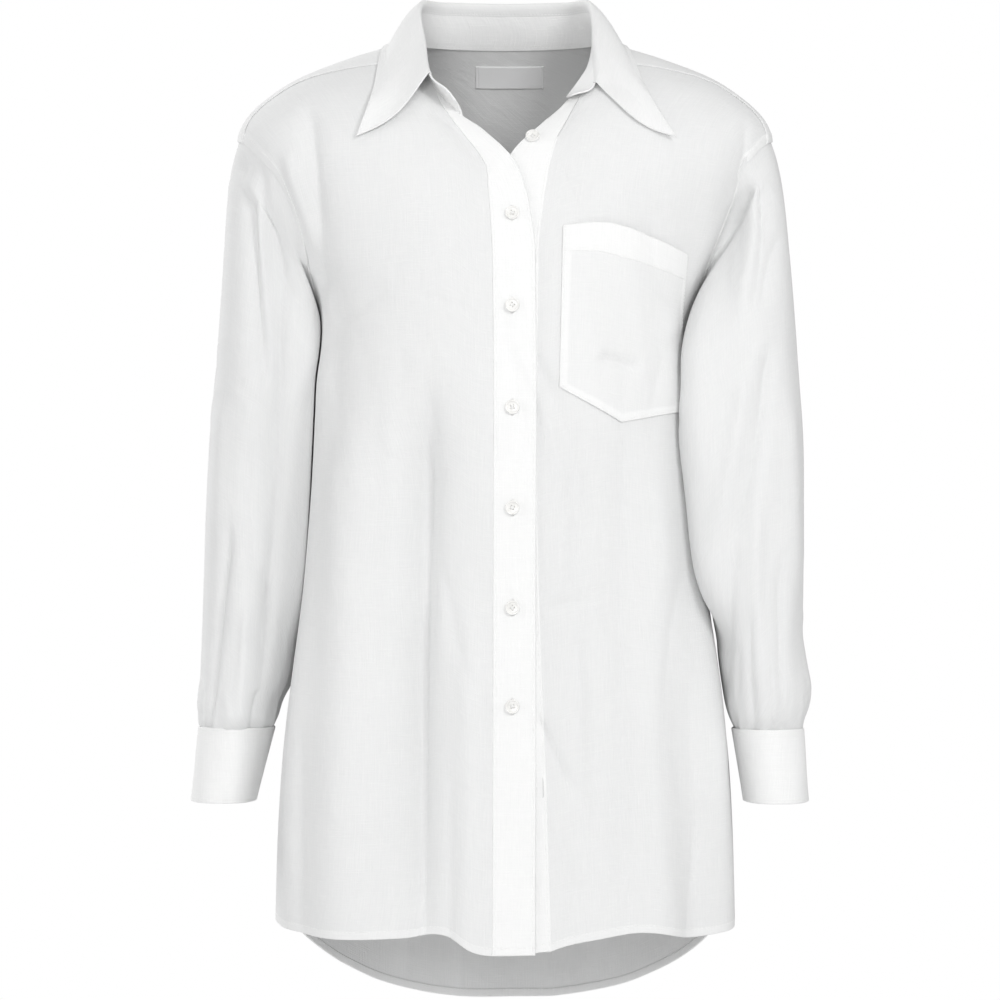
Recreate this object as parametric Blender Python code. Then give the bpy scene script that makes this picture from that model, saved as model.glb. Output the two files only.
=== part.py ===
"""Oversized linen shirt, worn and hollow, arms hanging, neck open.

Metres, +Z up. The shirt faces -Y and the wearer's left is +X. The origin is at the base of
the neck, between the shoulders, where the wearer carries the shirt.

The body is one smooth hollow form, given by rings. Each panel is a patch of that form between
its own seams; the seams are short tables, as lengths seen from the front or as angle and level
on the form. Sleeves and collar run from the form's armholes and neckline.
"""
import math

import bpy
import numpy as np

# ---- driving sizes ----
PANEL = 0.0010          # wall of one layer of cloth
DOUBLED = 0.0020        # wall of a band, stand or cuff, which are folded or faced
LEAF = 0.0018           # wall of the collar leaf
SEAM_GAP = 0.0003       # between two pieces at a seam
LIFT = 0.0005           # clear space under a piece that lies on a panel
POCKET_LIFT = 0.0016    # the same under the pocket, which crosses the panel's facets
UNDER = -0.0024         # how far the left front lies inside the form at the overlap
UNDER_FADE = (0.030, 0.075)   # over this x the left front comes back out to the form
CENTRE = 0.0057         # x of the line of buttons
BUTTON_RADIUS = 0.0058
BUTTON_THICK = 0.0026
# z of the fastened buttons, about 81 mm apart
BUTTON_HEIGHTS = (-0.1494, -0.2246, -0.3070, -0.3882, -0.4690, -0.5486)
NECK_ENDS = (-24.0, 36.5)     # where the stand ends on the neckline, degrees from the front
BAND_TOPS = (-42.0, 53.0)     # where the band seams reach the neckline
SHOULDER_SEAM = 58.0          # where the front yoke seams reach the neckline
ARMPIT_LEVEL = -0.222
SIDE_HEM = -0.732

# The body's rings, from below the hem to the neckline. A ring is given by its heights at the
# front, side and back, its half width, its reach to the front and back, and how square it is.
RING = ("level", "z_front", "z_side", "z_back", "half", "front", "back", "square")
RINGS = np.array([
    (-0.840, -0.840, -0.840, -0.840, 0.1930, 0.150, 0.138, 2.50),
    (-0.740, -0.740, -0.740, -0.740, 0.1915, 0.147, 0.134, 2.50),
    (-0.600, -0.600, -0.600, -0.600, 0.1860, 0.142, 0.126, 2.50),
    (-0.430, -0.430, -0.430, -0.430, 0.1640, 0.138, 0.118, 2.45),
    (-0.300, -0.300, -0.300, -0.300, 0.1570, 0.136, 0.113, 2.40),
    (-0.222, -0.220, -0.222, -0.222, 0.1570, 0.130, 0.112, 2.35),
    (-0.165, -0.170, -0.150, -0.165, 0.1900, 0.121, 0.110, 2.25),
    (-0.115, -0.131, -0.080, -0.115, 0.2230, 0.111, 0.105, 2.20),
    (-0.070, -0.106, -0.038, -0.066, 0.1870, 0.102, 0.093, 2.15),
    (-0.030, -0.090, -0.0135, -0.026, 0.1320, 0.094, 0.076, 2.10),
    (0.000, -0.080, 0.002, 0.002, 0.0810, 0.087, 0.058, 2.10),
])

# One armhole, from the shoulder point round the front to the armpit and up the back: share of
# the way round, angle from the front in degrees, level.
ARMHOLE = np.array([
    (0.00, 92.0, -0.1160),
    (0.07, 82.0, -0.1190),
    (0.14, 76.5, -0.1270),
    (0.26, 71.5, -0.1470),
    (0.40, 75.0, -0.1900),
    (0.50, 90.0, ARMPIT_LEVEL),
    (0.60, 104.0, -0.1900),
    (0.74, 109.5, -0.1480),
    (0.86, 106.0, -0.1220),
    (0.93, 99.0, -0.1170),
    (1.00, 92.0, -0.1160),
])
YOKE_FRONT_SHARE = 0.07
YOKE_BACK_SHARE = 0.86

# Stations that neighbouring pieces share along their seams.
SIDE_LEVELS = np.concatenate([np.linspace(SIDE_HEM, -0.342, 8),
                              np.linspace(-0.342, ARMPIT_LEVEL, 7)[1:]])
CHEST_ROWS, OPEN_ROWS = 4, 5
ARM_FRONT = np.linspace(0.5, YOKE_FRONT_SHARE, CHEST_ROWS + OPEN_ROWS + 1)
ARM_BACK = np.linspace(0.5, YOKE_BACK_SHARE, 8)
ARM_YOKE = np.array((YOKE_FRONT_SHARE, 0.035, 0.0, -0.035, -0.07, -0.105, YOKE_BACK_SHARE - 1))
FRONT_COLUMNS, NECK_COLUMNS, BACK_COLUMNS = 13, 3, 17

# Front yoke seam from the armhole to the neckline, and the back one from the armhole to the
# centre: angle, level.
YOKE_FRONT = np.array([(82.0, -0.119), (82.5, -0.092), (80.0, -0.064), (72.5, -0.038),
                       (64.0, -0.016), (SHOULDER_SEAM, 0.0)])
YOKE_BACK = np.array([(106.0, -0.122), (120.0, -0.121), (140.0, -0.112), (160.0, -0.106),
                      (180.0, -0.104)])

# Edges of the two bands seen from the front, from the hem up: z, x of the free edge, x of the
# seam. The last row of each is at the neckline.
BAND_RIGHT = np.array([
    (-0.755, 0.0242, -0.0106),
    (-0.600, 0.0246, -0.0100),
    (-0.430, 0.0247, -0.0098),
    (-0.220, 0.0245, -0.0100),
    (-0.165, 0.0232, -0.0112),
    (-0.128, 0.0165, -0.0140),
])
BAND_LEFT = np.array([
    (-0.755, 0.0020, 0.0380),
    (-0.600, -0.0030, 0.0330),
    (-0.430, -0.0095, 0.0268),
    (-0.220, -0.0095, 0.0268),
    (-0.165, -0.0080, 0.0282),
    (-0.128, -0.0035, 0.0330),
])
# Above the closed part each band turns out to the neckline: share of the way from the row
# above to the neckline, then x and z of the free edge and of the seam.
OPEN_RIGHT = np.array([(0.45, 0.0033, -0.0995, -0.0190, -0.1020),
                       (0.75, -0.0170, -0.0790, -0.0370, -0.0760)])
OPEN_LEFT = np.array([(0.45, 0.0085, -0.0930, 0.0410, -0.0930),
                      (0.75, 0.0300, -0.0700, 0.0540, -0.0640)])

# Hems: x seen from the front, z.
HEM_FRONT = np.array([(-0.1915, -0.732), (-0.1430, -0.738), (-0.0860, -0.7365),
                      (-0.0460, -0.7345), (-0.0270, -0.7460), (0.0000, -0.7495),
                      (0.0290, -0.7480), (0.0500, -0.7415), (0.0740, -0.7370),
                      (0.1090, -0.7320), (0.1600, -0.7385), (0.1915, -0.732)])
HEM_BACK = np.array([(-0.1915, -0.732), (-0.1680, -0.760), (-0.1190, -0.795),
                     (-0.0770, -0.809), (0.0000, -0.816), (0.0770, -0.809),
                     (0.1190, -0.796), (0.1680, -0.762), (0.1915, -0.732)])

# Largest folds of the body, seen from the front or back: side (1 front, -1 back), x and z at the
# top, x and z at the bottom, half width, depth (minus is a ridge).
BODY_FOLDS = np.array([
    (1, -0.0600, -0.330, -0.0640, -0.780, 0.0180, 0.0055),
    (1, -0.0330, -0.560, -0.0330, -0.790, 0.0120, -0.0040),
    (1, -0.1650, -0.040, -0.1320, -0.200, 0.0110, 0.0045),
    (1, 0.1000, -0.480, 0.1100, -0.790, 0.0150, 0.0050),
    (1, 0.1330, -0.520, 0.1420, -0.790, 0.0140, -0.0040),
    (1, -0.1200, -0.500, -0.1260, -0.790, 0.0200, -0.0040),
    (-1, -0.0700, -0.180, -0.0850, -0.840, 0.0200, 0.0050),
    (-1, 0.0620, -0.220, 0.0800, -0.840, 0.0220, 0.0055),
    (-1, 0.0000, -0.400, 0.0050, -0.860, 0.0260, -0.0040),
])

# The sleeves' rings, mirrored to +X: z, x and y of the centre, half width, half depth.
SLEEVE_RIGHT = np.array([
    (-0.275, 0.2005, 0.0290, 0.0445, 0.0660),
    (-0.330, 0.2037, 0.0370, 0.0463, 0.0650),
    (-0.400, 0.2080, 0.0400, 0.0460, 0.0620),
    (-0.460, 0.2120, 0.0400, 0.0437, 0.0590),
    (-0.500, 0.2148, 0.0390, 0.0422, 0.0570),
    (-0.530, 0.2183, 0.0340, 0.0404, 0.0560),
    (-0.552, 0.2245, 0.0290, 0.0360, 0.0540),
    (-0.566, 0.2258, 0.0260, 0.0333, 0.0500),
    (-0.572, 0.2266, 0.0250, 0.0315, 0.0450),
])
SLEEVE_LEFT = np.array([
    (-0.275, 0.2005, -0.0240, 0.0435, 0.0660),
    (-0.330, 0.2025, -0.0360, 0.0445, 0.0640),
    (-0.400, 0.2035, -0.0420, 0.0435, 0.0610),
    (-0.460, 0.2065, -0.0440, 0.0400, 0.0590),
    (-0.500, 0.2115, -0.0450, 0.0355, 0.0570),
    (-0.518, 0.2125, -0.0450, 0.0375, 0.0560),
    (-0.537, 0.2160, -0.0450, 0.0370, 0.0550),
    (-0.552, 0.2170, -0.0450, 0.0345, 0.0530),
    (-0.564, 0.2170, -0.0450, 0.0305, 0.0490),
    (-0.5695, 0.2175, -0.0450, 0.0290, 0.0450),
])
# Cuffs: x, y and z of the centre, half width and half depth, at the top and at the bottom.
CUFF_LAP = 0.10         # share of the way round that the ends lap
CUFF_RIGHT = ((0.2268, 0.0250, -0.5728, 0.0315, 0.0450), (0.2378, 0.0180, -0.6355, 0.0268, 0.0405))
CUFF_LEFT = ((0.2178, -0.0450, -0.5703, 0.0290, 0.0450), (0.2245, -0.0520, -0.6310, 0.0262, 0.0405))
CUFF_OPENING = 0.80     # share of the way round, from the outside over the front

# Largest folds of the sleeves: share of the way round from the outside over the front, z at the
# top and bottom, shift of the share from top to bottom, half width as a share, depth.
SLEEVE_FOLDS_RIGHT = np.array([
    (0.16, -0.110, -0.420, 0.020, 0.030, 0.0060),
    (0.27, -0.150, -0.360, 0.010, 0.030, 0.0050),
    (0.36, -0.420, -0.572, -0.030, 0.032, 0.0055),
    (0.20, -0.440, -0.572, -0.025, 0.022, 0.0050),
    (0.68, -0.200, -0.540, 0.030, 0.040, 0.0060),
])
SLEEVE_FOLDS_LEFT = np.array([
    (0.24, -0.250, -0.500, 0.130, 0.034, 0.0070),
    (0.13, -0.330, -0.572, 0.020, 0.026, 0.0045),
    (0.30, -0.500, -0.572, 0.010, 0.026, 0.0045),
    (0.70, -0.200, -0.540, -0.020, 0.040, 0.0060),
])

# The collar, from the wearer's right front end round the back to the left: angle on the
# neckline, top of the stand x, y, z, outer edge of the leaf x, y, z.
COLLAR = np.array([
    (-24.0, -0.0440, -0.0960, -0.0480, -0.1232, -0.1010, -0.0905),
    (-42.0, -0.0620, -0.0840, -0.0330, -0.1217, -0.0990, -0.0848),
    (-62.0, -0.0670, -0.0430, -0.0030, -0.1098, -0.0840, -0.0500),
    (-90.0, -0.0710, 0.0000, 0.0330, -0.0990, -0.0060, -0.0060),
    (-130.0, -0.0500, 0.0420, 0.0385, -0.0780, 0.0600, -0.0080),
    (-180.0, 0.0000, 0.0540, 0.0390, 0.0000, 0.0800, -0.0120),
    (-230.0, 0.0500, 0.0420, 0.0385, 0.0780, 0.0600, -0.0080),
    (-270.0, 0.0710, 0.0000, 0.0340, 0.0990, -0.0060, -0.0060),
    (-298.0, 0.0745, -0.0400, -0.0010, 0.1173, -0.0800, -0.0470),
    (-314.0, 0.0745, -0.0720, -0.0400, 0.1405, -0.0970, -0.0855),
    (-323.5, 0.0560, -0.0880, -0.0500, 0.1480, -0.0990, -0.0915),
])
LEAF_FROM, LEAF_TO = 0.1, 0.9         # share of the stand's length that carries the leaf
LEAF_CROWN = 0.0036                   # how far the leaf bows out between roll and edge
LEAF_BOW = 0.0080                     # how far the leaf's two front edges bow down and inwards
LEAF_BOW_REACH = 0.16                 # share of the stand's length over which that bow dies out
LEAF_RISE = 0.0016                    # how far the leaf's start stands above the roll line
LEAF_CLEAR = 0.0042                   # least height of the leaf over the shoulders and chest
STAND_LIFT = 0.0018                   # clear space between the neckline and the stand's foot
STAND_PROUD = 0.0008                  # how far the stand's foot stands out from the panels
STAND_TOP_CLEAR = 0.0022              # how far the stand's top stays below the roll line
STAND_HOLLOW = 0.0020                 # how far the stand curves in between foot and top

# Pocket seen from the front: x and z of the corners, depth of the hem at its mouth.
POCKET_TOP = np.array([(0.0470, -0.1590), (0.0760, -0.1565), (0.0935, -0.1590),
                       (0.1180, -0.1670), (0.1500, -0.1800)])
POCKET_FOOT = np.array([(0.0440, -0.2905), (0.0941, -0.3190), (0.1418, -0.3100)])
POCKET_HEM = 0.15       # share of the pocket's height
LABEL_CENTRE = (0.0040, -0.0200)
LABEL_SIZE = (0.0580, 0.0180)
LINEN = (0.905, 0.905, 0.900)
SHELL = (0.90, 0.90, 0.885)


def smooth(at, knots, values):
    """A cubic curve through the values at the knots, its slopes taken from the neighbours."""
    knots = np.asarray(knots, float)
    values = np.asarray(values, float)
    slopes = np.gradient(values, knots, axis=0)
    at = np.clip(at, knots[0], knots[-1])
    i = np.clip(np.searchsorted(knots, at) - 1, 0, len(knots) - 2)
    width = knots[i + 1] - knots[i]
    s = (at - knots[i]) / width
    if values.ndim == 2:
        s, width = s[..., None], width[..., None]
    rise = s * s * (3 - 2 * s)
    leave = s * (1 - s) ** 2 * width * slopes[i]
    arrive = s * s * (s - 1) * width * slopes[i + 1]
    return (1 - rise) * values[i] + rise * values[i + 1] + leave + arrive


def ease(at, low, high):
    """0 below low, 1 above high, with a smooth S between."""
    s = np.clip((at - low) / (high - low), 0, 1)
    return s * s * (3 - 2 * s)


def unit(vectors):
    return vectors / np.maximum(np.linalg.norm(vectors, axis=-1, keepdims=True), 1e-12)


def ring_at(level):
    """The ring's measures at a level, by name."""
    values = smooth(level, RINGS[:, 0], RINGS[:, 1:])
    return dict(zip(RING[1:], np.moveaxis(values, -1, 0)))


def bare_form(angle, level):
    """A point of the form: on the ring of that level, a superellipse, at an angle in degrees
    from the front; its height runs from the side's to the front's or back's as cos squared."""
    ring = ring_at(level)
    turn = np.radians(angle)
    s, c = np.sin(turn), np.cos(turn)
    depth = np.where(c > 0, ring["front"], ring["back"])
    power = ring["square"]
    reach = ((np.abs(s) / ring["half"]) ** power + (np.abs(c) / depth) ** power) ** (-1 / power)
    z_end = np.where(c > 0, ring["z_front"], ring["z_back"])
    height = ring["z_side"] + (z_end - ring["z_side"]) * c * c
    return np.stack([reach * s, -reach * c, height], -1)


def form_normal(angle, level):
    """Outward normal of the form, from small steps along both parameters."""
    d_angle, d_level = 0.2, 0.0005
    low = np.minimum(level, RINGS[-1, 0] - d_level)
    along = bare_form(angle + d_angle, low) - bare_form(angle - d_angle, low)
    up = bare_form(angle, low + d_level) - bare_form(angle, low - d_level)
    return unit(np.cross(along, up))


def body_fold_depth(points, angle):
    """How far the folds sink each point: soft troughs along straight lines of the front view."""
    depth = np.zeros(points.shape[:-1])
    facing = np.where(np.cos(np.radians(angle)) > 0, 1, -1)
    for side, x_top, z_top, x_foot, z_foot, half, deep in BODY_FOLDS:
        s = np.clip((z_top - points[..., 2]) / (z_top - z_foot), 0, 1)
        off = (points[..., 0] - x_top - (x_foot - x_top) * s) / half
        fade = ease(s, 0, 0.35)
        depth += np.where(facing == side, deep * fade * np.exp(-off * off), 0)
    return depth


def body(angle, level, out=0.0):
    """A point of the body with its folds, moved out along the normal."""
    points = bare_form(angle, level)
    normals = form_normal(angle, level)
    sink = body_fold_depth(points, angle)
    return points + normals * (out - sink)[..., None], normals


def seen(x, z, side):
    """Angle and level of points given by x and z seen from the front (side 1) or back (-1)."""
    x, z = np.asarray(x, float), np.asarray(z, float)
    level = np.minimum(z, -0.002)
    for _ in range(80):
        ring = ring_at(level)
        share = np.clip(np.abs(x) / ring["half"], 0, 0.99995)
        deep = ring["front"] if side > 0 else ring["back"]
        deep = deep * (1 - share ** ring["square"]) ** (1 / ring["square"])
        turn = np.arctan2(x, side * deep)
        z_end = ring["z_front"] if side > 0 else ring["z_back"]
        here = ring["z_side"] + (z_end - ring["z_side"]) * np.cos(turn) ** 2
        level = np.clip(level + 0.7 * (z - here), RINGS[0, 0], 0)
    angle = np.degrees(turn)
    if side < 0:
        angle = np.where(angle < 0, angle + 360, angle)
    return np.stack([angle, level], -1)


def clear_of_form(points, angle, least):
    """Points moved out, where they must, to lie at least that far from the bare form. Each
    one's nearest place on the form is found in a few steps from the angle given."""
    level = np.clip(points[..., 2], -0.15, -0.01)
    for _ in range(25):
        here = bare_form(angle, level)
        round_step = bare_form(angle + 1, level) - here
        up_step = (here - bare_form(angle, level - 0.002)) / 0.002
        off = points - here
        angle = angle + 0.7 * np.sum(off * round_step, -1) / np.sum(round_step ** 2, -1)
        move = 0.7 * np.sum(off * up_step, -1) / np.sum(up_step ** 2, -1)
        level = np.clip(level + move, -0.3, 0)
    normals = form_normal(angle, level)
    height = np.sum((points - bare_form(angle, level)) * normals, -1)
    short = np.maximum(least - height, 0)
    return points + normals * short[..., None]


def along(table, share):
    """Points of a table of places, read at shares of its length, evenly spaced by row."""
    return smooth(share, np.linspace(0, 1, len(table)), table)


def armhole(share, side):
    """Angle and level on the armhole of the wearer's left (side 1) or right (-1)."""
    place = smooth(share, ARMHOLE[:, 0], ARMHOLE[:, 1:])
    return place * (side, 1)


def band_line(table, opened, neck_angle, column):
    """One long edge of a band: the side seam's heights and on up to the last row of the table,
    then out to the neckline. Column 0 is the free edge and 1 the seam."""
    z = np.concatenate([SIDE_LEVELS, np.linspace(ARMPIT_LEVEL, table[-1, 0], CHEST_ROWS + 1)[1:]])
    z[0] = hem_level(smooth(z[0], table[:, 0], table[:, 1 + column]), 1)
    x = smooth(z, table[:, 0], table[:, 1 + column])
    closed = seen(x, z, 1)
    knots = [0, *opened[:, 0], 1]
    turn_off = seen(opened[:, 1 + 2 * column], opened[:, 2 + 2 * column], 1)
    places = np.vstack([closed[-1], turn_off, (neck_angle, 0.0)])
    share = np.linspace(0, 1, OPEN_ROWS + 1)[1:]
    return np.vstack([closed, smooth(share, knots, places)])


def hem_level(x, side):
    table = HEM_FRONT if side > 0 else HEM_BACK
    return smooth(np.asarray(x, float), table[:, 0], table[:, 1])


def patch(foot, head, start, end):
    """A grid of places between four edges: the sum of the two straight blends, less the blend
    of the corners. Rows run from foot to head, columns from start to end."""
    u = np.linspace(0, 1, len(foot))[None, :, None]
    v = np.linspace(0, 1, len(start))[:, None, None]
    corners = ((1 - u) * (1 - v) * foot[0] + u * (1 - v) * foot[-1]
               + (1 - u) * v * head[0] + u * v * head[-1])
    return ((1 - v) * foot[None] + v * head[None] + (1 - u) * start[:, None]
            + u * end[:, None] - corners)


def inset(points, sides, gap=SEAM_GAP / 2):
    """Draws the named edges of a grid in by half a seam gap."""
    points = points.copy()
    ends = {"foot": (0, 1, 0), "head": (-1, -2, 0), "start": (0, 1, 1), "end": (-1, -2, 1)}
    for name in sides:
        edge, inner, axis = ends[name]
        rows = np.moveaxis(points, axis, 0)
        rows[edge] += unit(rows[inner] - rows[edge]) * gap
    return points


def material(name, colour, rough):
    made = bpy.data.materials.get(name)
    if made is None:
        made = bpy.data.materials.new(name)
        made.use_nodes = True
        shader = made.node_tree.nodes["Principled BSDF"]
        shader.inputs["Base Color"].default_value = (*colour, 1)
        shader.inputs["Roughness"].default_value = rough
        shader.inputs["Metallic"].default_value = 0.0
    return made


def solid(name, vertices, faces, finish):
    """One closed mesh object, smooth shaded."""
    mesh = bpy.data.meshes.new(name)
    mesh.from_pydata(vertices.reshape(-1, 3).tolist(), [], faces)
    mesh.validate()
    mesh.shade_smooth()
    piece = bpy.data.objects.new(name, mesh)
    bpy.context.collection.objects.link(piece)
    mesh.materials.append(material(f"{name}_cloth", *finish))
    return piece


def wall(name, middle, normals, thick, closed=False, finish=(LINEN, 0.85)):
    """A wall of cloth: the grid moved half the thickness out and in along its normals, with
    its edges closed. A closed grid joins its last column to its first, as a tube does."""
    rows, columns = middle.shape[:2]
    side = np.cross(middle[0, 1] - middle[0, 0], middle[1, 0] - middle[0, 0])
    flip = np.dot(side, normals[0, 0]) < 0
    points = np.stack([middle + normals * thick / 2, middle - normals * thick / 2])
    number = np.arange(points[..., 0].size).reshape(2, rows, columns)
    outer, inner = number
    if closed:
        outer = np.concatenate([outer, outer[:, :1]], 1)
        inner = np.concatenate([inner, inner[:, :1]], 1)
    quads = [np.stack([outer[:-1, :-1], outer[:-1, 1:], outer[1:, 1:], outer[1:, :-1]], -1),
             np.stack([inner[:-1, :-1], inner[1:, :-1], inner[1:, 1:], inner[:-1, 1:]], -1),
             np.stack([outer[0, :-1], inner[0, :-1], inner[0, 1:], outer[0, 1:]], -1),
             np.stack([outer[-1, :-1], outer[-1, 1:], inner[-1, 1:], inner[-1, :-1]], -1)]
    if not closed:
        quads += [np.stack([outer[:-1, 0], outer[1:, 0], inner[1:, 0], inner[:-1, 0]], -1),
                  np.stack([outer[:-1, -1], inner[:-1, -1], inner[1:, -1], outer[1:, -1]], -1)]
    faces = np.concatenate([q.reshape(-1, 4) for q in quads])
    if flip:
        faces = faces[:, ::-1]
    return solid(name, points, faces.tolist(), finish)


def edge_of_hem(angles, side):
    """Places along the hem at given angles: the level is the hem's height at that x."""
    level = np.full(len(angles), SIDE_HEM)
    for _ in range(20):
        level = hem_level(bare_form(angles, level)[:, 0], side)
    return np.stack([angles, level], -1)


def left_front_out(points):
    """The left front lies inside the form where the right one laps it."""
    return UNDER * (1 - ease(points[..., 0], *UNDER_FADE))


def front(side):
    """One front: band seam, hem, side seam and armhole, then the yoke seam and the neckline."""
    table, opened, top = ((BAND_RIGHT, OPEN_RIGHT, BAND_TOPS[0]) if side < 0
                          else (BAND_LEFT, OPEN_LEFT, BAND_TOPS[1]))
    start = band_line(table, opened, top, 1)
    seam = np.stack([np.full(len(SIDE_LEVELS), 90.0 * side), SIDE_LEVELS], -1)
    end = np.vstack([seam, armhole(ARM_FRONT[1:], side)])
    columns = FRONT_COLUMNS
    foot = edge_of_hem(np.linspace(start[0, 0], end[0, 0], columns), 1)
    foot[0] = start[0]
    neck = np.linspace(top, SHOULDER_SEAM * side, NECK_COLUMNS + 1)
    neck = np.stack([neck, np.zeros_like(neck)], -1)
    shoulder = along(YOKE_FRONT[::-1], np.linspace(0, 1, columns - NECK_COLUMNS)) * (side, 1)
    head = np.vstack([neck[:-1], shoulder])
    place = patch(foot, head, start, end)
    angle, level = place[..., 0], place[..., 1]
    points, normals = body(angle, level)
    if side > 0:
        points = points + normals * left_front_out(points)[..., None]
    points = inset(points, ("start", "end", "head"))
    wall(f"front_{'left' if side > 0 else 'right'}", points, normals, PANEL)


def band(side):
    """A front band between its free edge and its seam, from the hem to the neckline."""
    table, opened, top, end_angle = (
        (BAND_RIGHT, OPEN_RIGHT, BAND_TOPS[0], NECK_ENDS[0]) if side < 0
        else (BAND_LEFT, OPEN_LEFT, BAND_TOPS[1], NECK_ENDS[1]))
    edge = band_line(table, opened, end_angle, 0)
    seam = band_line(table, opened, top, 1)
    across = np.linspace(0, 1, 3)[None, :, None]
    place = edge[:, None] * (1 - across) + seam[:, None] * across
    out = SEAM_GAP if side < 0 else UNDER
    points, normals = body(place[..., 0], place[..., 1], out)
    points = inset(points, ("end",))
    points = inset(points, ("head",), DOUBLED / 2)
    wall(f"band_{'left' if side > 0 else 'right'}", points, normals, DOUBLED)


def back():
    """The back, from side seam to side seam, up to the yoke seam."""
    seam = np.stack([np.full(len(SIDE_LEVELS), 90.0), SIDE_LEVELS], -1)
    start = np.vstack([seam, armhole(ARM_BACK[1:], 1)])
    end = start * (-1, 1) + (360, 0)
    foot = edge_of_hem(np.linspace(90, 270, BACK_COLUMNS), -1)
    half = along(YOKE_BACK, np.linspace(0, 1, BACK_COLUMNS // 2 + 1))
    head = np.vstack([half, (half * (-1, 1) + (360, 0))[-2::-1]])
    place = patch(foot, head, start, end)
    points, normals = body(place[..., 0], place[..., 1])
    points = inset(points, ("start", "end", "head"))
    wall("back", points, normals, PANEL)


def yoke():
    """The yoke: a strip from one front seam round the neck to the other, between the neckline
    and the armholes and back seam."""
    arm_columns, back_columns = len(ARM_YOKE), BACK_COLUMNS // 2 + 1
    arm = armhole(ARM_YOKE % 1.0, 1)
    half = along(YOKE_BACK, np.linspace(0, 1, back_columns))[1:]
    outer = np.vstack([arm, half])
    neck = np.concatenate([np.linspace(SHOULDER_SEAM, 118, arm_columns),
                           np.linspace(118, 180, back_columns)[1:]])
    inner = np.stack([neck, np.zeros_like(neck)], -1)
    seam = along(YOKE_FRONT, np.linspace(0, 1, FRONT_COLUMNS - NECK_COLUMNS))
    centre = np.stack([np.full(len(seam), 180.0),
                       np.linspace(YOKE_BACK[-1, 1], 0, len(seam))], -1)
    place = patch(outer, inner, seam, centre)
    mirrored = (place * (-1, 1) + (360, 0))[:, -2::-1]
    place = np.concatenate([place, mirrored], 1)
    points, normals = body(place[..., 0], place[..., 1])
    points = inset(points, ("start", "end", "head", "foot"))
    wall("yoke", points, normals, PANEL)


def sleeve_fold_depth(share, z, folds):
    depth = np.zeros(np.broadcast(share, z).shape)
    for at, z_top, z_foot, shift, half, deep in folds:
        s = (z_top - z) / (z_top - z_foot)
        off = (share - at - shift * np.clip(s, 0, 1) + 0.5) % 1.0 - 0.5
        fade = ease(s, 0, 0.3) * (1 - 0.4 * ease(s, 0.9, 1.1))
        depth += deep * fade * np.exp(-(off / half) ** 2)
    return depth


def sleeve(side):
    """A sleeve: from each point of the armhole a line leaves along the shoulder's slope and
    turns down into the hanging tube, whose rings are ellipses."""
    rings = SLEEVE_RIGHT if side < 0 else SLEEVE_LEFT
    folds = SLEEVE_FOLDS_RIGHT if side < 0 else SLEEVE_FOLDS_LEFT
    share = np.concatenate([ARM_YOKE[ARM_YOKE >= 0][::-1], ARM_FRONT[-2:0:-1], ARM_BACK,
                            ARM_YOKE[ARM_YOKE < 0][:0:-1] + 1])
    place = armhole(share, 1)
    root = bare_form(place[:, 0], place[:, 1])
    normal = form_normal(place[:, 0], place[:, 1])
    ahead = armhole((share + 0.002) % 1.0, 1)
    step = bare_form(ahead[:, 0], ahead[:, 1]) - root
    inward = unit(np.cross(normal, step))
    low = np.cos(2 * np.pi * share)
    under = ease(-low, 0.2, 1.0)
    root = root + inward * 0.0009 + normal * (under * 0.0026)[:, None]
    leave = inward * (0.100 - 0.085 * under)[:, None] + normal * (0.038 - 0.024 * under)[:, None]
    turn = 2 * np.pi * share

    def tube(z):
        centre_x, centre_y, half_x, half_y = np.moveaxis(smooth(z, rings[::-1, 0],
                                                                rings[::-1, 1:]), -1, 0)
        return np.stack([centre_x + half_x * np.cos(turn), centre_y - half_y * np.sin(turn),
                         z + 0 * turn], -1)

    first_z = rings[0, 0]
    joined = tube(np.full(len(turn), first_z))
    arrive = tube(np.full(len(turn), first_z - 0.002)) - joined
    arrive = arrive / 0.002 * (root[:, 2] - first_z)[:, None]
    cap = []
    for s in (0, 0.07, 0.18, 0.36, 0.57, 0.79):
        rise = s * s * (3 - 2 * s)
        cap.append(root * (1 - rise) + joined * rise + leave * s * (1 - s) ** 2
                   + arrive * s * s * (s - 1))
    depths = (-0.275, -0.325, -0.380, -0.435, -0.485, -0.520, -0.545, -0.561, rings[-1, 0])
    hang = [tube(np.full(len(turn), z)) for z in depths]
    middle = np.array(cap + hang)
    round_next = np.roll(middle, -1, 1) - np.roll(middle, 1, 1)
    down = np.gradient(middle, axis=0)
    normals = unit(np.cross(round_next, down))
    if np.dot(normals[-3, 0], (1, 0, 0)) < 0:
        normals = -normals
    sink = sleeve_fold_depth(share[None, :], middle[..., 2], folds)
    sink[0] = 0
    middle = middle - normals * sink[..., None]
    middle, normals = middle * (side, 1, 1), normals * (side, 1, 1)
    name = "left" if side > 0 else "right"
    wall(f"sleeve_{name}", middle, normals, PANEL, closed=True)
    strip = slice(16, 19)
    lifted = middle[-6:-1, strip] + normals[-6:-1, strip] * (PANEL + LIFT)
    wall(f"sleeve_placket_{name}", lifted, normals[-6:-1, strip], PANEL)


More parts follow.
